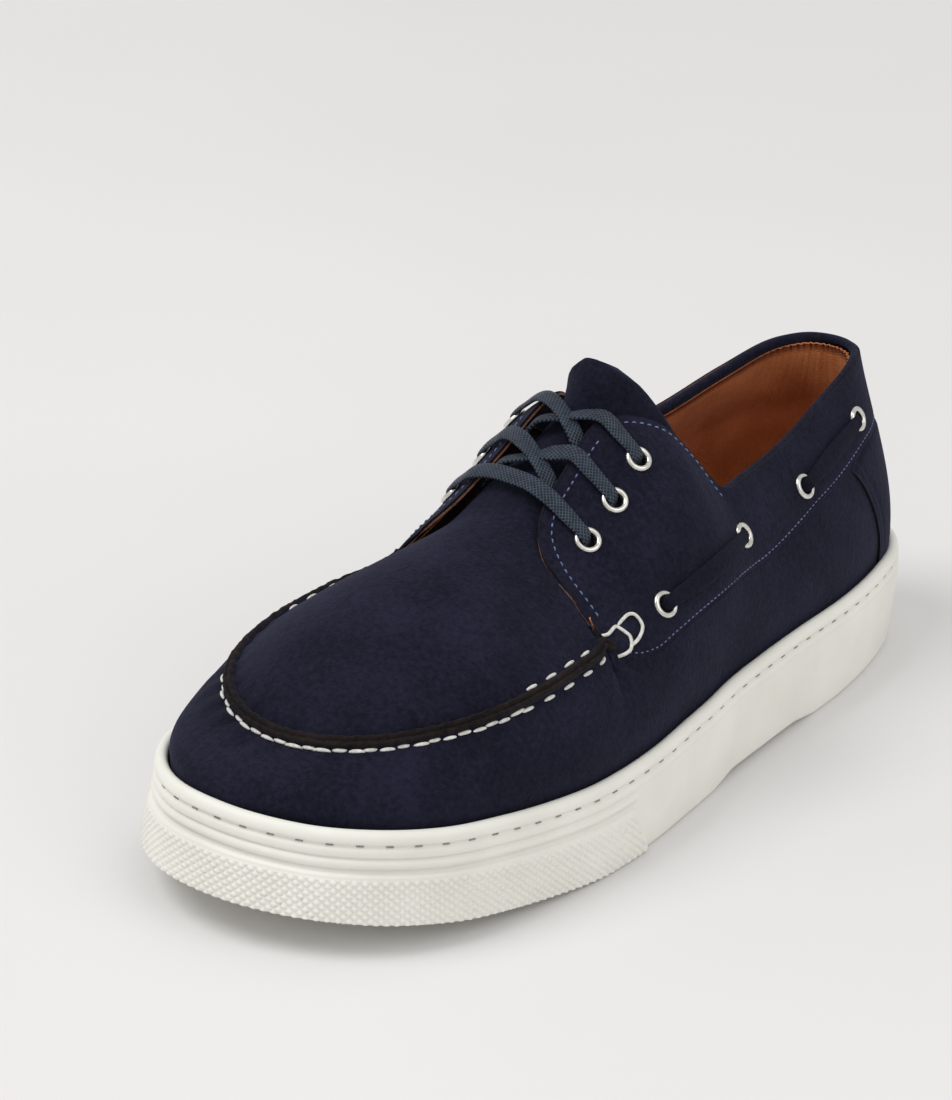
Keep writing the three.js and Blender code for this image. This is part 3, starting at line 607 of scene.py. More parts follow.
def braid_material(name, dark, light):
    """A waxed flat braid: strands run diagonally out from the lace's middle line."""
    material, tree, shader = new_material(name)
    coords = tree.nodes.new("ShaderNodeUVMap")
    coords.uv_map = "mm"
    split = tree.nodes.new("ShaderNodeSeparateXYZ")
    link(tree, coords.outputs[0], split.inputs[0])
    across, along = split.outputs[0], split.outputs[1]
    one, two = (sine(tree, math_node(tree, way, along, across), BRAID_PITCH) for way in ("ADD", "SUBTRACT"))
    weave = math_node(tree, "MAXIMUM", one, two)
    wax = noise_node(tree, 500, 3)
    height = math_node(tree, "ADD", weave, math_node(tree, "MULTIPLY", wax, 0.6))
    # Painted highlight and painted shade: the weave makes the strands' crests lighter and the grooves between
    # them darker; the wax noise adds the braid's own random tone.
    base_colour(tree, shader, blend(tree, weave, 0.36, wax, 0.9), [(0.32, dark), (0.85, light)])
    set_inputs(shader, {"Roughness": 0.5, "Specular IOR Level": 0.28})
    bump(tree, shader, height, 1.0, 0.22)
    return material


def thread_material(name, dark, light, scale=900):
    material, tree, shader = new_material(name)
    fine = noise_node(tree, scale, 3)
    base_colour(tree, shader, fine, [(0.3, dark), (0.7, light)])
    set_inputs(shader, {"Roughness": 0.7})
    bump(tree, shader, fine, 0.5, 0.12)
    return material


def nickel_material():
    material, tree, shader = new_material("eyelet_nickel")
    wear = noise_node(tree, 700, 4)
    base_colour(tree, shader, wear, [(0.3, (0.62, 0.60, 0.55)), (0.7, (0.80, 0.78, 0.73))])
    set_inputs(shader, {"Metallic": 1.0})
    rough = math_node(tree, "ADD", math_node(tree, "MULTIPLY", wear, 0.12), 0.2)
    link(tree, rough, shader.inputs["Roughness"])
    return material


SUEDE_MAT = suede_material("navy_suede", (0.0035, 0.0036, 0.0092), (0.0160, 0.0158, 0.0345))
THONG_MAT = suede_material("thong_suede", (0.0030, 0.0032, 0.0080), (0.0120, 0.0125, 0.0250), 0.05)
# Dark suede for the raw edges and the lining's facing; the same material paints the shade seen down the
# eyelets' bores.
DARK_SUEDE_AND_SHADE = suede_material("dark_suede_and_painted_shade", (0.006, 0.005, 0.005), (0.026, 0.018, 0.017), 0.05)
RAW_COPPER = suede_material("raw_edge_copper", (0.075, 0.035, 0.028), (0.30, 0.14, 0.095), 0.1)
LINING_MAT = cloth_material("tan_lining", (0.40, 0.125, 0.038), (0.62, 0.225, 0.085), 0.9, 0.05)
INSOLE_MAT = cloth_material("tan_sock", (0.26, 0.075, 0.012), (0.42, 0.135, 0.028), 0.7, 0.05)
RUBBER_MAT = rubber_material()
LACE_MAT = braid_material("slate_braid", (0.010, 0.015, 0.025), (0.050, 0.068, 0.098))
WHITE_THREAD = thread_material("white_thread", (0.50, 0.49, 0.45), (0.80, 0.79, 0.74))
BLUE_THREAD = thread_material("blue_thread", (0.070, 0.100, 0.220), (0.180, 0.235, 0.420), 1500)
GREY_THREAD = thread_material("sole_thread", (0.20, 0.20, 0.19), (0.36, 0.36, 0.34), 1500)
NICKEL = nickel_material()


# ------------------------------------------------------------------ sole
SIDE = [  # out from the feather line and down from it, lip to side wall
    (0.35, 3.3), (0.35, 0.5), (0.8, -0.3), (1.6, -0.7), (2.6, -0.55), (3.5, 0.1), (4.0, 1.0),
    (4.15, 1.9), (4.05, 2.5), (3.55, 2.9), (3.35, 3.3), (3.55, 3.7), (4.1, 4.05), (4.35, 4.6),
    (4.4, 5.2), (4.4, 5.8), (4.3, 6.3),
]
# The side from there down to the bumper's top: a ridge round the toe, plain elsewhere.
RIDGE = [(3.75, 6.75), (3.9, 7.05), (4.6, 7.4), (4.9, 8.3), (4.75, 9.2), (4.1, 9.75), (3.8, 10.2)]
PLAIN = [(4.42, 6.75), (4.43, 7.05), (4.45, 7.4), (4.48, 8.3), (4.5, 9.2), (4.5, 9.75), (4.52, 10.2)]
SIDE_OUT = 4.55         # how far out the side stands where the profiles end
# How far out the bottom edge stands, along the foot.
FLARE = np.array([(-150, 7.2), (-60, 4.4), (30, 4.8), (110, 3.0), (150, 2.0)])
TOE_SPRING = {"start": -55, "reach": 95, "height": 12, "power": 1.3}
ARCH = {"front": 4, "back": 66, "height": 1.8, "slope": 12}
EDGE_ROUND = 1.6        # radius of the bottom edge
BUMPER = {"top": 11.0, "rear_top": 14.3, "rear_low": 13.0, "proud": 0.95, "pitch": 2.8, "tall": 2.4,
          "relief": 0.62, "border": 1.6, "lift": 0.35, "thick": 0.8}
TREAD = [(-96, 32, -1), (-80, 37, 1), (-64, 39, 2), (-48, 39, 3), (-32, 38, 4), (-16, 36, 5),
         (84, 29, 1), (100, 28, 0), (116, 24, 0)]     # y, half length and middle of each groove
TREAD_DEPTH, TREAD_WIDTH, TREAD_WAVE, TREAD_ZIGS = 1.6, 2.4, 2.2, 8


def ground(y):
    ahead = np.maximum(0, TOE_SPRING["start"] - y) / TOE_SPRING["reach"]
    rise = np.minimum(y - ARCH["front"], ARCH["back"] - y) / ARCH["slope"]
    return TOE_SPRING["height"] * ahead ** TOE_SPRING["power"] + ARCH["height"] * np.clip(rise, 0, 1)


def out_from(foot, out, reach, z):
    """Points `reach` mm out from the feather line, at heights z."""
    return np.concatenate([foot[..., :2] + out[..., :2] * reach[..., None], z[..., None]], -1)


def sole_side(s, low_rows=14):
    """Side of the sole, lip to bottom edge, as a grid: a row for each place s."""
    foot, out = section(s)[0], outward(s)
    near_toe = smooth(14.0, 14.7, from_heel(s % TOTAL))[:, None]
    ridge = np.array(RIDGE)[None] * near_toe[..., None] + np.array(PLAIN)[None] * (1 - near_toe[..., None])
    side = np.concatenate([np.broadcast_to(np.array(SIDE), (len(s), len(SIDE), 2)), ridge], 1)
    upper = foot[:, None] + out[:, None] * side[..., :1] - UP * side[..., 1:]
    flare = column(FLARE, 1, foot[:, 1])[:, None]
    t = np.linspace(0, 1, low_rows)[None]
    reach = SIDE_OUT + (flare - SIDE_OUT) * t
    foot_z = foot[:, 2:3] - BUMPER["top"]
    floor = ground(foot[:, 1:2] + out[:, 1:2] * flare)
    z = foot_z + (floor + EDGE_ROUND - foot_z) * t
    lower = out_from(foot[:, None], out[:, None], reach, z)
    arc = np.linspace(0, math.pi / 2, 5)[1:]
    turn = flare - EDGE_ROUND * (1 - np.cos(arc))[None]
    round_z = floor + EDGE_ROUND * (1 - np.sin(arc))[None]
    return np.concatenate([upper, lower, out_from(foot[:, None], out[:, None], turn, round_z)], 1)


def tread_cut(x, y):
    """Depth of the zigzag grooves at places on the underside."""
    deep = np.zeros_like(x)
    for row_y, half, middle in TREAD:
        phase = (x - (middle - half)) / (2 * half) * TREAD_ZIGS
        zig = TREAD_WAVE * (2 * np.abs((phase + 1) % 2 - 1) - 1)
        near = 1 - smooth(TREAD_WIDTH / 2 - 0.4, TREAD_WIDTH / 2 + 0.2, np.abs(y - row_y - zig))
        deep = np.maximum(deep, near * (np.abs(x - middle) < half) * TREAD_DEPTH)
    return deep


def make_outsole():
    s = even_places(0, TOE, 1.3, 0)
    around = np.concatenate([s, TOTAL - s[::-1][1:-1]])
    side = sole_side(around)
    points, faces = [side.reshape(-1, 3)], [grid_faces(*side.shape[:2], True, False)]
    outer, inner = side[:len(s)], side[[-i % len(around) for i in range(len(s))]]
    t = np.linspace(0, 1, 96)[None, :, None]
    base = between(outer[:, -1], inner[:, -1], t)
    inside = np.ones(base.shape[:2])
    inside[:, [0, -1]] = 0
    base[..., 2] = ground(base[..., 1]) + tread_cut(base[..., 0], base[..., 1]) * inside
    faces.append(grid_faces(*base.shape[:2], start=side.shape[0] * side.shape[1]))
    points.append(base.reshape(-1, 3))
    bed = between(outer[:, 0], inner[:, 0], t[:, ::8])
    faces.append(grid_faces(*bed.shape[:2], start=sum(map(len, points)))[:, ::-1])
    points.append(bed.reshape(-1, 3))
    make_object("cup_sole", np.vstack(points), np.vstack(faces), [RUBBER_MAT],
                replaces=["outsole"])


def bumper_face(place, t):
    """Side wall of the sole at places s, t from 0 at the bumper's top to 1 at its bottom."""
    foot, out = section(place)[0], outward(place)
    flare = column(FLARE, 1, foot[..., 1])
    top = foot[..., 2] - BUMPER["top"]
    z = top + (ground(foot[..., 1] + out[..., 1] * flare) + BUMPER["lift"] - top) * t
    return out_from(foot, out, SIDE_OUT + (flare - SIDE_OUT) * t, z), out


def make_bumper():
    """The raised toe bumper with its diamond relief, slanted at both rear ends."""
    s = even_places(BUMPER["rear_low"], TOTAL - BUMPER["rear_low"], 0.4, 0)
    t = np.linspace(0, 1, 46)
    rear = BUMPER["rear_top"] + (BUMPER["rear_low"] - BUMPER["rear_top"]) * t
    part = (s[:, None] - s[0]) / (s[-1] - s[0])
    place = s[:, None] + (rear - BUMPER["rear_low"])[None] * (1 - 2 * part)
    side, normal = bumper_face(place, np.broadcast_to(t, place.shape))
    fine = np.linspace(BUMPER["rear_low"], TOTAL - BUMPER["rear_low"], 3000)
    run = np.interp(place, fine, length_along(bumper_face(fine, np.full(len(fine), 0.5))[0]))
    high = side[:, :1, 2] - side[..., 2]
    across, down = run / BUMPER["pitch"], high / BUMPER["tall"]
    ridge = 2 * np.maximum(*(np.abs(slant % 1 - 0.5) for slant in (across + down, across - down)))
    diamond = np.clip((1 - ridge) * 1.5, 0, 1) ** 0.8
    ends = np.minimum(run - run[:1], run[-1:] - run)
    corner = BUMPER["border"] * 1.4
    inset = np.minimum(high, ends)
    rounded = corner - np.hypot(np.maximum(corner - high, 0), np.maximum(corner - ends, 0))
    rim = np.where((high < corner) & (ends < corner), rounded, inset)
    foot = high[:, -1:] - high
    swell = smooth(-0.1, 0.7, rim) * smooth(-0.2, 0.5, foot)
    relief = diamond * smooth(BUMPER["border"] - 0.3, BUMPER["border"] + 0.2, rim) * BUMPER["relief"]
    relief = relief * smooth(-0.1, 0.4, foot)
    face = side + normal * (BUMPER["proud"] * swell + relief - 0.35 * smooth(0.3, -0.3, rim))[..., None]
    faces = grid_faces(*face.shape[:2])
    back = side - normal * BUMPER["thick"]
    make_object("toe_bumper", np.concatenate([face.reshape(-1, 3), back.reshape(-1, 3)]),
                np.concatenate([faces, faces[:, ::-1] + run.size]), [RUBBER_MAT])


SOLE_STITCH = {"pitch": 7.5, "half": 0.95, "wide": 0.32, "thick": 0.4, "out": 3.56, "down": 3.3}


def make_sole_stitches():
    """Short thread dashes in the groove under the sole's lip."""
    parts = []
    for place in even_places(0, TOTAL, SOLE_STITCH["pitch"], 0)[:-1]:
        speed = np.linalg.norm(wall(place + 0.05, 0.0) - wall(place - 0.05, 0.0)) / 0.1
        reach = SOLE_STITCH["half"] / speed
        at = np.linspace(place - reach, place + reach, 5)
        foot, out = section(at)[0], outward(at)
        path = foot + out * SOLE_STITCH["out"] - UP * SOLE_STITCH["down"]
        parts.append(sweep(path, out, round_profile(SOLE_STITCH["wide"], SOLE_STITCH["thick"], 8)))
    make_joined("sole_stitches", parts, GREY_THREAD)


# ------------------------------------------------------------------ inside
INSOLE = {"inset": WALL + GAP + 0.1, "sunk": 1.2, "cup": 1.6, "cloth": 2.2}


def make_insole():
    """The sock liner: a sheet whose long edges rise a little up the wall."""
    s = even_places(0.02, TOE - 0.02, 2.5, 0)
    outer, inner = (section(place)[0] - outward(place) * INSOLE["inset"] for place in (s, TOTAL - s))
    t = np.linspace(0, 1, 40)[None, :, None]
    grid = between(outer, inner, t)
    cup = INSOLE["cup"] * (2 * t[..., 0] - 1) ** 2
    grid[..., 2] += INSOLE_THICK - SEAT_DEPTH - INSOLE["sunk"] + cup
    points, faces, _ = sheet(grid, INSOLE["cloth"])
    make_object("sock_liner", points, faces, [INSOLE_MAT], replaces=["insole"])


LINING = {"cloth": 0.8, "behind": SUEDE + 0.25, "pad": 1.7, "seam": 0.5, "rib": 0.45, "rib_pitch": 2.4}
FACING = {"rear": 8.6, "front": 18, "low": 0.45}     # stations and height of the suede facing


def make_lining():
    """The lining: padded and ribbed at the heel, with a dark facing behind the eyestays."""
    s = even_places(0, TOTAL, 1.0)[:-1]
    place, part = np.meshgrid(s, np.linspace(0, 1, 44), indexing="ij")
    station = from_heel(place)
    top = 0.975 - 0.19 * smooth(7.2, 8.8, station) * smooth(20.0, 18.0, station)
    high = -1 + (top + 1) * part
    collar = 1 - smooth(6.8, 8.6, station)
    pad = LINING["pad"] * collar * smooth(0.52, 0.8, high) * (1 - 0.45 * smooth(0.9, 1, high))
    seam = LINING["seam"] * np.exp(-((high - 0.5) / 0.02) ** 2) * collar
    run = np.linalg.norm(wall(place, 1.0) - wall(0, 1.0), axis=-1)
    ribs = LINING["rib"] * np.sin(2 * math.pi * run / LINING["rib_pitch"])
    ribs = ribs * (1 - smooth(1.4, 2.8, station)) * smooth(0.5, 0.65, high)
    grid = wall_off(place, high, seam - LINING["behind"] - pad - ribs)
    points, faces, _ = sheet(grid, LINING["cloth"], True)
    facing = (station > FACING["rear"]) & (station < FACING["front"]) & (high > FACING["low"])
    slots = facing.ravel()[faces[:, 0] % facing.size].astype(int)
    make_object("textile_lining", points, faces, [LINING_MAT, DARK_SUEDE_AND_SHADE], slots)


# ------------------------------------------------------------------ upper
def both_sides(place):
    s, up = place
    return [(s, up), (TOTAL - s, up)]


EYELETS = [e for place in LACE_EYELETS + SIDE_EYELETS for e in both_sides(place)]
EYELET_CENTRES = wall(*np.array(EYELETS).T)


HOLE = 3.1


def holes_kept(grid):
    """Which cells of a grid are clear of the eyelets' holes."""
    middle = (grid + np.roll(grid, -1, 0))[:, :-1] / 2 + (grid[:, 1:] - grid[:, :-1]) / 2
    gap = np.linalg.norm(middle[:, :, None] - EYELET_CENTRES, axis=-1).min(-1)
    return gap > HOLE


def puckers(s, run):
    """Soft gathers that the hand stitches pull into the leather round the toe."""
    toe = smooth(15.4, 17.5, from_heel(s))
    return toe * np.cos(2 * math.pi * run / STITCH["pitch"])


STITCH = {"pitch": 8.2, "length": 4.7, "thick": 1.12, "outside": 2.5, "inside": 2.25}


def soft_dents(points):
    """Slow hand-made unevenness of the leather, in millimetres along the normal."""
    x, y, z = points[..., 0], points[..., 1], points[..., 2]
    slow = np.sin(x / 17 + y / 23 + 0.6) * np.sin(y / 19 - z / 15 + 1.1)
    short = np.sin(x / 7.3 - y / 9.1) * np.sin(z / 6.7 + y / 11 + 2)
    return 0.28 * slow + 0.10 * short


def make_wall():
    """The vamp's wall, which runs back under the quarters to the heel."""
    s = even_places(0, TOTAL, 1.5, 0.5)[:-1]
    station = from_heel(s)
    top = np.where(station < THROAT, np.minimum(1, quarter_low(station) + 0.1), 1.0)
    t = np.linspace(0, 1, 52)[None]
    high = -0.9 + (top[:, None] + 0.9) * t
    place = np.broadcast_to(s[:, None], high.shape)
    edge_run = length_along(wall(s, 1.0))[:, None]
    gather = puckers(place, edge_run) * 0.28 * smooth(0.45, 0.9, high)
    base = wall(place, high)
    tuck = 0.315 * smooth(0.16, 0.0, high)
    grid = wall_off(place, high, gather + soft_dents(base) * smooth(0.1, 0.4, high) - tuck)
    points, faces, _ = sheet(grid, SUEDE, True, holes_kept(base))
    make_object("vamp_wall", points, faces, [SUEDE_MAT], replaces=["upper"])


def quarter_offset(place, high, low):
    """How far the quarter's face stands over the wall: a soft lower edge and its stitch line."""
    from_edge = (high - low) * wall_height(place)
    rise = PROUD * smooth(-0.2, 0.9, from_edge)
    sewn = 0.32 * np.exp(-((from_edge - SEWN_IN) / 0.5) ** 2) * smooth(15, 13, np.abs(place))
    return rise - sewn


def quarter_face(place, high):
    low = quarter_low(np.abs((place + TOE) % TOTAL - TOE))
    return wall_off(place, high, quarter_offset(place, high, low) + soft_dents(wall(place, high)) * 0.7)


def make_quarters():
    """Both quarters with their eyestays, in one sheet round the heel."""
    s = even_places(-FRONT_CORNER, FRONT_CORNER, 1.05, 0.6)
    t = np.linspace(0, 1, 58) ** 0.9
    low = quarter_low(np.abs(s))[:, None]
    high = low + (1 - low) * t[None]
    place = np.broadcast_to(s[:, None], high.shape)
    grid = quarter_face(place, high)
    points, faces, marks = sheet(grid, QUARTER_THICK, False, holes_kept(wall(place, high)),
                                 wall_normal(place, high))
    slots = np.maximum(marks - 1, 0)
    make_object("quarters", points, faces, [SUEDE_MAT, DARK_SUEDE_AND_SHADE, RAW_COPPER], slots)


BORE_SHADE = {"radius": 3.6, "front": 1.35, "back": 1.6}


def make_bore_shade():
    """Painted shade down the eyelets' bores: discs of dark suede, not punched through, set behind each bore
    where the shoe's shaded inside would show.
    """
    points, faces = [], []
    turn = np.linspace(0, 2 * math.pi, 18, endpoint=False)
    n = len(turn)
    for s, up in EYELETS:
        normal = wall_normal(s, up)
        disc = wall(s, up) + spokes(normal, turn) * BORE_SHADE["radius"]
        start = sum(map(len, points))
        points += [disc - normal * BORE_SHADE["front"], disc - normal * BORE_SHADE["back"]]
        faces += [list(range(start, start + n)), list(range(start + 2 * n - 1, start + n - 1, -1))]
        faces += [[start + (i + 1) % n, start + i, start + n + i, start + n + (i + 1) % n] for i in range(n)]
    make_object("bore_shade_discs", np.vstack(points), faces, [DARK_SUEDE_AND_SHADE])


def make_collar_roll():
    """The padded suede roll along the collar, deeper over the inner side."""
    s = even_places(-NOTCH - 0.25, NOTCH + 0.25, 1.2)
    inner = smooth(0.6, -2.2, s)[:, None]
    fade = (smooth(NOTCH + 0.3, NOTCH - 0.6, np.abs(s)) * 0.5 + 0.5)[:, None]
    ahead = unit(wall(s, 0.98) - wall(s, 0.9))
    across = wall_normal(s, 0.97)
    deep = 1.3 + 1.15 * inner
    thick = (1.35 + 0.4 * inner) * fade
    a = np.linspace(0, 2 * math.pi, 22, endpoint=False)
    middle = wall(s, 1.0) - across * (0.95 * thick - 0.25) - ahead * (deep - 1.25)
    ring = (middle[:, None] + across[:, None] * (thick * np.cos(a))[..., None]
            + ahead[:, None] * (deep * np.sin(a))[..., None])
    faces = grid_faces(*ring.shape[:2], False, True).tolist() + end_caps(*ring.shape[:2])
    make_object("collar_roll", ring.reshape(-1, 3), faces, [SUEDE_MAT])


APRON_DIP = {"seam": 0.7, "spine": 1.25}


def apron_offset(s, across):
    """The apron dips under the quarters at its rear and gathers a little behind the seam."""
    station = from_heel(s)
    deeper = (APRON_DIP["spine"] - APRON_DIP["seam"]) * smooth(0.2, 0.7, across)
    dip = -(APRON_DIP["seam"] + deeper) * smooth(17.2, 15.2, station) * smooth(0.0, 0.12, across)
    run = length_along(wall(s[:, 0], 1.0))[:, None]
    return dip + puckers(s, run) * 0.25 * smooth(0.3, 0.06, across)


TONGUE_WING = {"out": 0.62, "down": 0.78}     # where each millimetre of the tongue's side wings goes


def make_apron_and_tongue():
    """One sheet of suede: the apron inside the moccasin seam, running up into the tongue."""
    s = even_places(THROAT, TOTAL - THROAT, 2.0)
    s[np.argmin(np.abs(s - TOE))] = TOE
    half = len(s) // 2
    s = np.concatenate([s[:half], [TOE], TOTAL - s[:half][::-1]]) if abs(s[half] - TOE) < 1 else s
    across = np.linspace(0, 1, 34)
    place, part = np.meshgrid(s, across, indexing="ij")
    base = apron(place, part)
    offset = apron_offset(place, part) + soft_dents(base) * 1.2 * smooth(0, 0.1, part)
    normal = normal_of(apron, place, part, 0.03, 0.97)
    shared = unit(normal + normal[::-1])                  # the same on both sides of the spine
    blend = smooth(0.75, 1.0, part)[..., None]
    grid = base + unit(normal * (1 - blend) + shared * blend) * offset[..., None]
    # The rear edge from the inner seam over the spine to the outer seam, then the tongue.
    rear = np.concatenate([grid[-1], grid[0][::-1][1:]])
    ahead_row = np.concatenate([grid[-2], grid[1][::-1][1:]])
    c = np.linspace(-1, 1, len(rear))
    wide = 0.42                                   # part of the rear edge that the tongue takes up
    sure = np.clip(c / wide, -1, 1)
    wing = np.sign(c) * np.maximum(np.abs(c) - wide, 0) / (1 - wide)
    rows = [ahead_row, rear]
    for row, reach in ((1.15, 9.0), (2.0, 8.0), (3.0, 5.0), (4.0, 0), (5.0, 0), (6.0, 0), (6.6, 0), (7.0, 0)):
        edge = tongue(row, sure)
        edge[:, 0] += wing * reach * TONGUE_WING["out"]
        edge[:, 2] -= np.abs(wing) * reach * TONGUE_WING["down"]
        rows.append(edge)
    rows = np.array(rows)
    middle = rows[:, len(rear) // 2]
    keys = length_along(middle)
    fine = through(rows, keys, np.linspace(keys[1], keys[-1], 60))
    points = np.concatenate([grid.reshape(-1, 3), fine.reshape(-1, 3)])
    faces = np.concatenate([grid_faces(*grid.shape[:2])[:, ::-1],
                            grid_faces(*fine.shape[:2], start=grid.shape[0] * grid.shape[1])])
    sheet_object = make_object("apron_and_tongue", points, faces, [SUEDE_MAT, RAW_COPPER],
                               replaces=["tongue"])
    tidy_surface(sheet_object, 2.0)


def tidy_surface(obj, thick):
    """Merges the seams of a surface, turns it outward and gives it a thickness."""
    bm = bmesh.new()
    bm.from_mesh(obj.data)
    bmesh.ops.remove_doubles(bm, verts=bm.verts, dist=0.02 * MM)
    bmesh.ops.dissolve_degenerate(bm, edges=bm.edges, dist=0.002 * MM)
    bmesh.ops.recalc_face_normals(bm, faces=bm.faces)
    if sum(f.normal.z * f.calc_area() for f in bm.faces) < 0:
        bmesh.ops.reverse_faces(bm, faces=bm.faces)
    bm.to_mesh(obj.data)
    bm.free()
    solid = obj.modifiers.new("thickness", "SOLIDIFY")
    solid.thickness = thick * MM
    solid.offset = -1


COUNTER = {"low": 2.78, "high": 3.12, "power": 2.0, "proud": 0.95, "clip": 0.04}


def make_counter():
    """The heel panel: its front edges bow forward as they rise and round off at the top."""
    ratio = np.linspace(-1, 1, 150)
    t = np.linspace(0, 1, 46)
    ratio, part = np.meshgrid(ratio, t, indexing="ij")
    reach = COUNTER["low"] + (COUNTER["high"] - COUNTER["low"]) * part ** COUNTER["power"]
    place = ratio * reach
    top = (quarter_low(np.abs(place)) + 0.01) * (1 - COUNTER["clip"] * np.abs(ratio) ** 14)
    high = part * top
    side_gap = (1 - np.abs(ratio)) * reach * 11.5
    swell = COUNTER["proud"] * (0.75 + 0.25 * smooth(-0.1, 1.0, side_gap))
    swell = swell - 0.28 * np.exp(-((side_gap - 2.3) / 0.45) ** 2)
    swell = swell * smooth(1.02, 0.93, part)
    base = wall(place, high)
    grid = wall_off(place, high, 0.05 + swell + soft_dents(base) * 0.5)
    points, faces, marks = sheet(grid, SUEDE)
    slots = np.where(marks >= 2, 1, 0)
    make_object("counter_panel", points, faces, [SUEDE_MAT, DARK_SUEDE_AND_SHADE], slots,
                replaces=["heel_counter"])


# ------------------------------------------------------------------ moccasin seam
def seam_frame(s):
    edge = section(s)[1]
    out = wall_normal(s, 0.97)
    crown = normal_of(apron, s, 0.05, 0.03, 0.97)
    return edge, out, crown, unit(out + crown)


SEAM_TAIL = np.array([(12.82, 0.515), (13.5, 0.64)])     # places where the seam runs on over the quarter
# The ridge's section: from its outer foot over two raw edges to its inner foot.
SEAM_LOBES = np.array([
    (-1.75, -1.6), (-1.8, -0.3), (-1.7, 0.6), (-1.4, 1.3), (-0.9, 1.55), (-0.35, 1.35), (0.0, 0.8),
    (0.35, 1.3), (0.9, 1.5), (1.4, 1.25), (1.7, 0.6), (1.8, -0.3), (1.75, -1.6),
])
SEAM = {"proud": 0.35, "tail": 0.9, "pull": 0.07, "rough": 0.07}


def make_seam():
    """Two raw edges sewn up against each other into a ridge round the apron."""
    s = even_places(THROAT, TOTAL - THROAT, 0.9)
    edge, _, _, top = seam_frame(s)
    at, up = SEAM_TAIL.T
    near, far = wall_off(at, up, SEAM["tail"]), wall_off(TOTAL - at, up, SEAM["tail"])[::-1]
    path = np.vstack([near, edge + top * SEAM["proud"], far])
    first, last = wall_normal(12.9, 0.55)[None], wall_normal(TOTAL - 12.9, 0.55)[None]
    path = np.vstack([spline(path[:4], 9)[:-1], path[3:-3], spline(path[-4:], 9)[1:]])
    lean = np.vstack([np.repeat(first, 6, 0), (first + top[:1]) / 2, top[:2], top[1:-1], top[-2:],
                      (last + top[-1:]) / 2, np.repeat(last, 8, 0)])[:len(path)]
    run = length_along(path)
    pull = 1 - SEAM["pull"] * np.cos(2 * math.pi * run / STITCH["pitch"] * 2)
    taper = smooth(0, 3.5, run) * 0.35 + 0.65
    rng = np.random.default_rng(4)
    rough = rng.standard_normal((len(path), 7))
    rough = (rough + np.roll(rough, 1, 0)) * SEAM["rough"]
    profile = SEAM_LOBES[None] * (pull * taper)[:, None, None]
    profile[:, 3:10, 1] += rough
    profile[:, 3:10, 0] += np.roll(rough, 5, 0) * 0.8
    points, faces, uv = sweep(path, lean, profile)
    cols = len(SEAM_LOBES)
    slots = [1 if 2 <= (face[0] % cols) <= 9 else 0 for face in faces[:-2]] + [2, 2]
    make_object("moccasin_seam", points, faces, [SUEDE_MAT, DARK_SUEDE_AND_SHADE, RAW_COPPER], slots, uv)


def stitch(path, normals, thick):
    """One thread stitch: round, a little sunk at both ends."""
    n = len(path)
    t = np.linspace(-1, 1, n)
    sink = (1 - t ** 2) ** 0.5
    sized = np.clip(sink, 0.35, 1)[:, None, None] * round_profile(thick, thick * 0.85, 10, 2.0)[None]
    return sweep(path + normals * ((sink - 1) * thick * 0.75)[:, None], normals, sized)


def make_seam_stitches():
    """The thick running stitch: a dash outside the ridge, then one inside it."""
    fine = np.linspace(THROAT + 0.1, TOTAL - THROAT - 0.1, 3000)
    run = length_along(wall(fine, 1.0))
    count = int(run[-1] / STITCH["pitch"])
    pitch = run[-1] / count
    rng = np.random.default_rng(11)
    parts = []
    for i in range(count * 2):
        middle = (i / 2 + 0.25) * pitch + rng.uniform(-0.35, 0.35)
        length = STITCH["length"] * rng.uniform(0.9, 1.06)
        at = np.interp(np.linspace(middle - length / 2, middle + length / 2, 9), run, fine)
        edge, out, crown, _ = seam_frame(at)
        if i % 2:
            path, normals = edge + unit(crown - out) * STITCH["inside"] + crown * 0.3, crown
        else:
            path = wall(at, 1 - STITCH["outside"] / wall_height(at)) + wall_normal(at, 0.93) * 0.4
            normals = out
        parts.append(stitch(path, normals, STITCH["thick"]))
    make_joined("seam_stitches", parts, WHITE_THREAD)


LOOPS = [  # strands of the two thread loops at the seam's end, as places on the wall
    [(13.3, 0.655), (12.8, 0.582), (12.33, 0.55), (12.25, 0.53), (12.17, 0.504), (12.1, 0.472),
     (12.27, 0.444), (12.57, 0.456), (12.9, 0.49)],
    [(12.3, 0.546), (11.83, 0.526), (11.71, 0.506), (11.67, 0.478), (11.69, 0.452), (11.95, 0.438),
     (12.24, 0.45)],
]
LOOP = {"wide": 1.05, "thick": 0.9, "lift": 1.1, "step": 0.25, "end": 0.4}


def make_thread_loops():
    """The two loops of thread that tie the seam's end over the quarter's corner."""
    parts = []
    for side in (0, 1):
        for number, loop in enumerate(LOOPS):
            places = np.array(loop)
            if side:
                places[:, 0] = TOTAL - places[:, 0]
            lift = np.full(len(places), LOOP["lift"] + LOOP["step"] * number)
            lift[[0, -1]] = LOOP["end"]
            path = spline(wall_off(places[:, 0], places[:, 1], lift), 50)
            normals = np.repeat(wall_normal(places[3, 0], places[3, 1])[None], len(path), 0)
            parts.append(sweep(path, normals, round_profile(LOOP["wide"], LOOP["thick"], 10, 2.0)))
    make_joined("thread_loops", parts, WHITE_THREAD)


# ------------------------------------------------------------------ fine stitching
FRONT_LINE = [(10.3, 0.955), (11.0, 0.955), (11.7, 0.95), (12.15, 0.925), (12.42, 0.875), (12.56, 0.80),
              (12.62, 0.70), (12.68, 0.62)]
REAR_LINE = [(9.9, 0.965), (9.3, 0.962), (8.8, 0.958), (8.2, 0.952), (7.6, 0.94), (7.1, 0.92), (6.75, 0.90)]


TOP_STITCH = {"dash": 1.6, "gap": 0.95, "thick": 0.5}
EDGE_STITCH = {"dash": 1.5, "gap": 0.6, "thick": 0.4}


def lower_line():
    s = np.linspace(12.45, 0.0, 26)
    return np.stack([s, quarter_low(s) + SEWN_IN / wall_height(s)], -1)


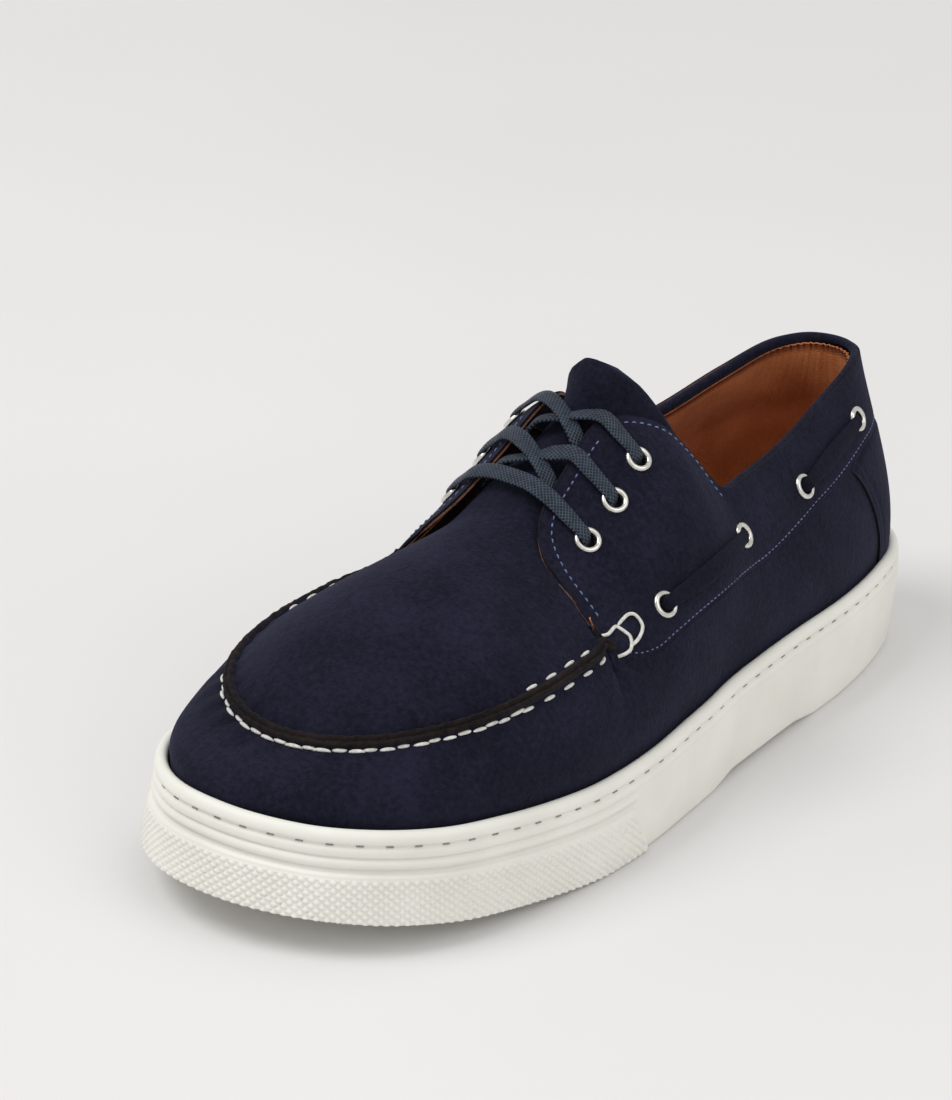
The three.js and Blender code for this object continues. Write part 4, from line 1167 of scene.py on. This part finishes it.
def dashes(places, dash, gap, thick, side):
    """A row of stitches along places on the quarter, side 0 the outer and 1 the inner."""
    curve = spline(np.array(places) * (1, 5), 400) / (1, 5)
    if side:
        curve[:, 0] = TOTAL - curve[:, 0]
    surface = quarter_face(curve[:, 0], curve[:, 1])
    normals = wall_normal(curve[:, 0], curve[:, 1])
    run = length_along(surface)
    parts = []
    for start in np.arange(0.3, run[-1] - dash, dash + gap):
        at = np.linspace(start, start + dash, 5)
        path = read_along(at, run, surface)
        normal = unit(read_along(at, run, normals))
        parts.append(stitch(path + normal * thick * 0.35, normal, thick))
    return parts


def make_fine_stitches():
    parts = []
    for side in (0, 1):
        for line in (FRONT_LINE, REAR_LINE):
            parts += dashes(line, **TOP_STITCH, side=side)
        parts += dashes(lower_line(), **EDGE_STITCH, side=side)
    make_joined("fine_stitches", parts, BLUE_THREAD)


# ------------------------------------------------------------------ eyelets, laces, thongs
def make_eyelets():
    rim, bore, proud, deep = (EYELET[k] for k in ("rim", "bore", "proud", "deep"))
    a = np.linspace(0, math.pi, 9)
    middle, half = (rim + bore) / 2, (rim - bore) / 2
    crown = [(middle + half * math.cos(t), 0.05 + proud * math.sin(t)) for t in a]
    profile = np.array([(rim, -0.25)] + crown + [(bore, -deep), (bore + 0.35, -deep), (bore + 0.35, -0.3)])
    turn = np.linspace(0, 2 * math.pi, 40, endpoint=False)
    names = [f"{kind}_eyelet_{side}_{i + 1}"
             for kind, places in (("lace", LACE_EYELETS), ("side", SIDE_EYELETS))
             for i in range(len(places)) for side in ("outer", "inner")]
    faces = grid_faces(len(turn), len(profile), True, True)
    for name, (s, up) in zip(names, EYELETS):
        normal = wall_normal(s, up)
        at = wall(s, up) + normal * (PROUD + 0.15)
        ring = at + spokes(normal, turn)[:, None] * profile[:, :1] + normal * profile[:, 1:]
        make_object(f"ring_{name}", ring.reshape(-1, 3), faces, [NICKEL], replaces=[name])


def strap(stops, sides, width, thick, n, squeeze=None):
    """A flat strap along the stops given; its width lies along the sides given."""
    path = spline(stops, n)
    at, t = np.linspace(0, 1, n), np.linspace(0, 1, len(stops))
    side = unit(read_along(at, t, sides))
    ahead = unit(np.gradient(path, axis=0))
    top = unit(np.cross(ahead, side))
    profile = np.broadcast_to(round_profile(width, thick, 18)[None], (n, 18, 2)).copy()
    if squeeze is not None:
        profile *= np.interp(at, t, squeeze)[:, None, None]
    return sweep(path, top, profile)


NARROWED = [0.97, 0.85, 0.8, 0.8]     # a lace's size at its last stops, where it enters an eyelet


def into_eyelet(s, up, towards, lift, deep):
    """Stops that run from over the wall down an eyelet's bore, to `deep` below the wall's face."""
    n = wall_normal(s, up)
    at = wall(s, up)
    step = unit(towards - at - n * np.dot(towards - at, n))
    return [at + n * (PROUD + lift) + step * 3.3, at + n * (PROUD + lift * 0.75) + step * 1.1,
            at - n * 0.4 * deep - step * 0.35, at - n * deep - step * 0.4]


def lace_over(s, up):
    """Stops of a lace from over an eyestay's edge into the eyelet: the edge's come first."""
    n = wall_normal(s, 0.96)
    edge = wall(s, 1.0)
    return [edge + n * 2.3, wall(s, 0.92) + n * (PROUD + 1.35)] + into_eyelet(s, up, edge, 1.35, LACE["deep"])


def along_foot(s):
    """Direction in which the wall's top runs towards the toe on the outer side."""
    return unit(wall(s + 0.2, 0.9) - wall(s - 0.2, 0.9))


def make_laces():
    """The bar between the front eyelets, then two crossings of two lengths each."""
    s, up = LACE_EYELETS[0]
    outer, inner = lace_over(s, up), lace_over(TOTAL - s, up)
    span = [outer[0] * (1 - t) + inner[0] * t + UP * rise
            for t, rise in ((0.25, 2.2), (0.5, 2.6), (0.75, 2.2))]
    stops = outer[::-1] + span + inner
    sides = [along_foot(s)] * 6 + [along_foot(s) - along_foot(TOTAL - s)] * 3 + [-along_foot(TOTAL - s)] * 6
    squeeze = NARROWED[::-1] + [1] * 7 + NARROWED
    bar = strap(stops, sides, LACE["width"], LACE["thick"], 110, squeeze)
    make_joined("bar_lace", [bar], LACE_MAT, ["lace_bar"])
    for name, low, high in (("lower", 0, 1), ("upper", 1, 2)):
        parts = []
        for flip, lift in ((False, 2.5), (True, 0.5)):
            start = LACE_EYELETS[low][0] - 0.25
            end, up = LACE_EYELETS[high]
            a, b = (TOTAL - start, end) if flip else (start, TOTAL - end)
            over = lace_over(b, up)
            edge, n = wall(a, 1.0), wall_normal(a, 0.97)
            inward = unit(over[0] - edge)
            hidden = [wall(a, 0.90) - n * (WALL + 2.0), edge - n * (WALL - 0.6) + inward * 0.8]
            rise = [edge + inward * 4.6 + UP * 0.9]
            span = over[0] - rise[0]
            mid = [rise[0] + span * 0.38 + UP * lift, rise[0] + span * 0.72 + UP * (lift * 0.8 + 0.5)]
            stops = hidden + rise + mid + over
            flow = unit(np.cross(span, -UP)) * (-1 if flip else 1)
            side_a, side_b = (side if np.dot(side, flow) >= 0 else -side for side in map(along_foot, (a, b)))
            sides = [side_a] * 2 + [flow] * 3 + [side_b] * 6
            parts.append(strap(stops, sides, LACE["width"], LACE["thick"], 110, [1] * 7 + NARROWED))
        make_joined(f"cross_lace_{name}", parts, LACE_MAT, [f"lace_cross_{name}"])


def straight_over(first, second, parts):
    """Places on the wall under a straight line between two places, at the parts given."""
    s, up = np.meshgrid(np.linspace(second[0], first[0], 300), np.linspace(0.3, 0.95, 200), indexing="ij")
    face = wall(s, up)
    a, b = wall(*first), wall(*second)
    found = []
    facing = wall_normal(*first) + wall_normal(*second)
    for part in parts:
        gap = np.linalg.norm(np.cross(face - (a + (b - a) * part), facing), axis=-1)
        k = int(gap.argmin())
        found.append((s.flat[k], up.flat[k]))
    return found


def make_thongs():
    """Two straight lengths of the suede thong on each side."""
    for end, (first, second), parts in (("front", SIDE_EYELETS[:2], (0.3, 0.5, 0.7)),
                                        ("rear", SIDE_EYELETS[2:], (0.4, 0.6))):
        via = straight_over(first, second, parts)
        for side in ("outer", "inner"):
            turn = (lambda s: TOTAL - s) if side == "inner" else (lambda s: s)
            path = [wall(turn(s), u) + wall_normal(turn(s), u) * (PROUD + 1.15) for s, u in via]
            a = into_eyelet(turn(first[0]), first[1], path[0], 1.1, THONG["deep"])
            b = into_eyelet(turn(second[0]), second[1], path[-1], 1.1, THONG["deep"])
            stops = a[::-1] + path + b
            ahead = unit(b[0] - a[0])
            flat = [wall_normal(turn(s), u) for s, u in [first] * 4 + via + [second] * 4]
            sides = [unit(np.cross(normal, ahead)) for normal in flat]
            squeeze = [0.75, 0.75, 0.85, 0.97] + [1.0] * len(via) + [0.97, 0.85, 0.75, 0.75]
            thong = strap(stops, sides, THONG["width"], THONG["thick"], 70, squeeze)
            make_joined(f"side_thong_{side}_{end}", [thong], THONG_MAT, [f"thong_{side}_{end}"])


# ------------------------------------------------------------------ camera, floor, light
CAMERA = {"azimuth": 38.5, "elevation": 23.9, "roll": 1.5, "lens": 111.47, "at": (544.6, -728.0, 464.8)}


def camera_axes():
    a, e, r = (math.radians(CAMERA[k]) for k in ("azimuth", "elevation", "roll"))
    back = np.array([math.sin(a) * math.cos(e), -math.cos(a) * math.cos(e), math.sin(e)])
    level = np.array([math.cos(a), math.sin(a), 0])
    over = np.cross(back, level)
    right = level * math.cos(r) + over * math.sin(r)
    up = -level * math.sin(r) + over * math.cos(r)
    return right, up, back


def make_camera():
    data = bpy.data.cameras.new("camera")
    data.sensor_fit = "AUTO"
    data.sensor_width = 36
    data.lens = CAMERA["lens"]
    data.clip_start = 0.05
    data.clip_end = 50
    obj = add_to_scene("camera", data)
    place = np.column_stack([*camera_axes(), to_metres(CAMERA["at"])])
    obj.matrix_world = Matrix([*place.tolist(), (0, 0, 0, 1)])
    bpy.context.scene.camera = obj


def make_floor():
    material, tree, shader = new_material("studio_floor")
    tone = noise_node(tree, 3, 2)
    base_colour(tree, shader, tone, [(0.3, (0.76, 0.75, 0.745)), (0.7, (0.79, 0.78, 0.775))])
    set_inputs(shader, {"Roughness": 0.8, "Specular IOR Level": 0.2})
    mesh = bpy.data.meshes.new("studio_floor")
    half = 8                # metres
    corners = [(-half, -half, 0), (half, -half, 0), (half, half, 0), (-half, half, 0)]
    mesh.from_pydata(corners, [], [(0, 1, 2, 3)])
    mesh.materials.append(material)
    add_to_scene("studio_floor", mesh)


def area_light(name, direction, distance, size, power):
    """A round white lamp that faces the part's origin; metres and watts."""
    data = bpy.data.lights.new(name, "AREA")
    data.shape = "DISK"
    data.size = size
    data.energy = power
    obj = add_to_scene(name, data)
    direction = Vector(direction).normalized()
    obj.location = direction * distance
    obj.rotation_euler = direction.to_track_quat("Z", "Y").to_euler()


def make_light():
    world = bpy.data.worlds.new("studio")
    world.use_nodes = True
    back = world.node_tree.nodes["Background"]
    back.inputs["Color"].default_value = (1.0, 0.995, 0.99, 1)
    back.inputs["Strength"].default_value = 0.66
    bpy.context.scene.world = world
    right, _, towards = camera_axes()
    area_light("key", -0.75 * right + 1.15 * UP + 0.15 * towards, distance=3.0, size=1.7, power=36)
    area_light("fill", 0.8 * right + 0.7 * UP + 0.7 * towards, distance=1.8, size=1.5, power=6)
    bpy.context.scene.view_settings.view_transform = "Standard"


for build in (make_camera, make_floor, make_light, make_outsole, make_bumper, make_sole_stitches, make_insole,
              make_lining, make_wall, make_quarters, make_bore_shade, make_collar_roll,
              make_apron_and_tongue, make_counter, make_seam, make_seam_stitches, make_thread_loops,
              make_fine_stitches, make_eyelets, make_laces, make_thongs):
    build()
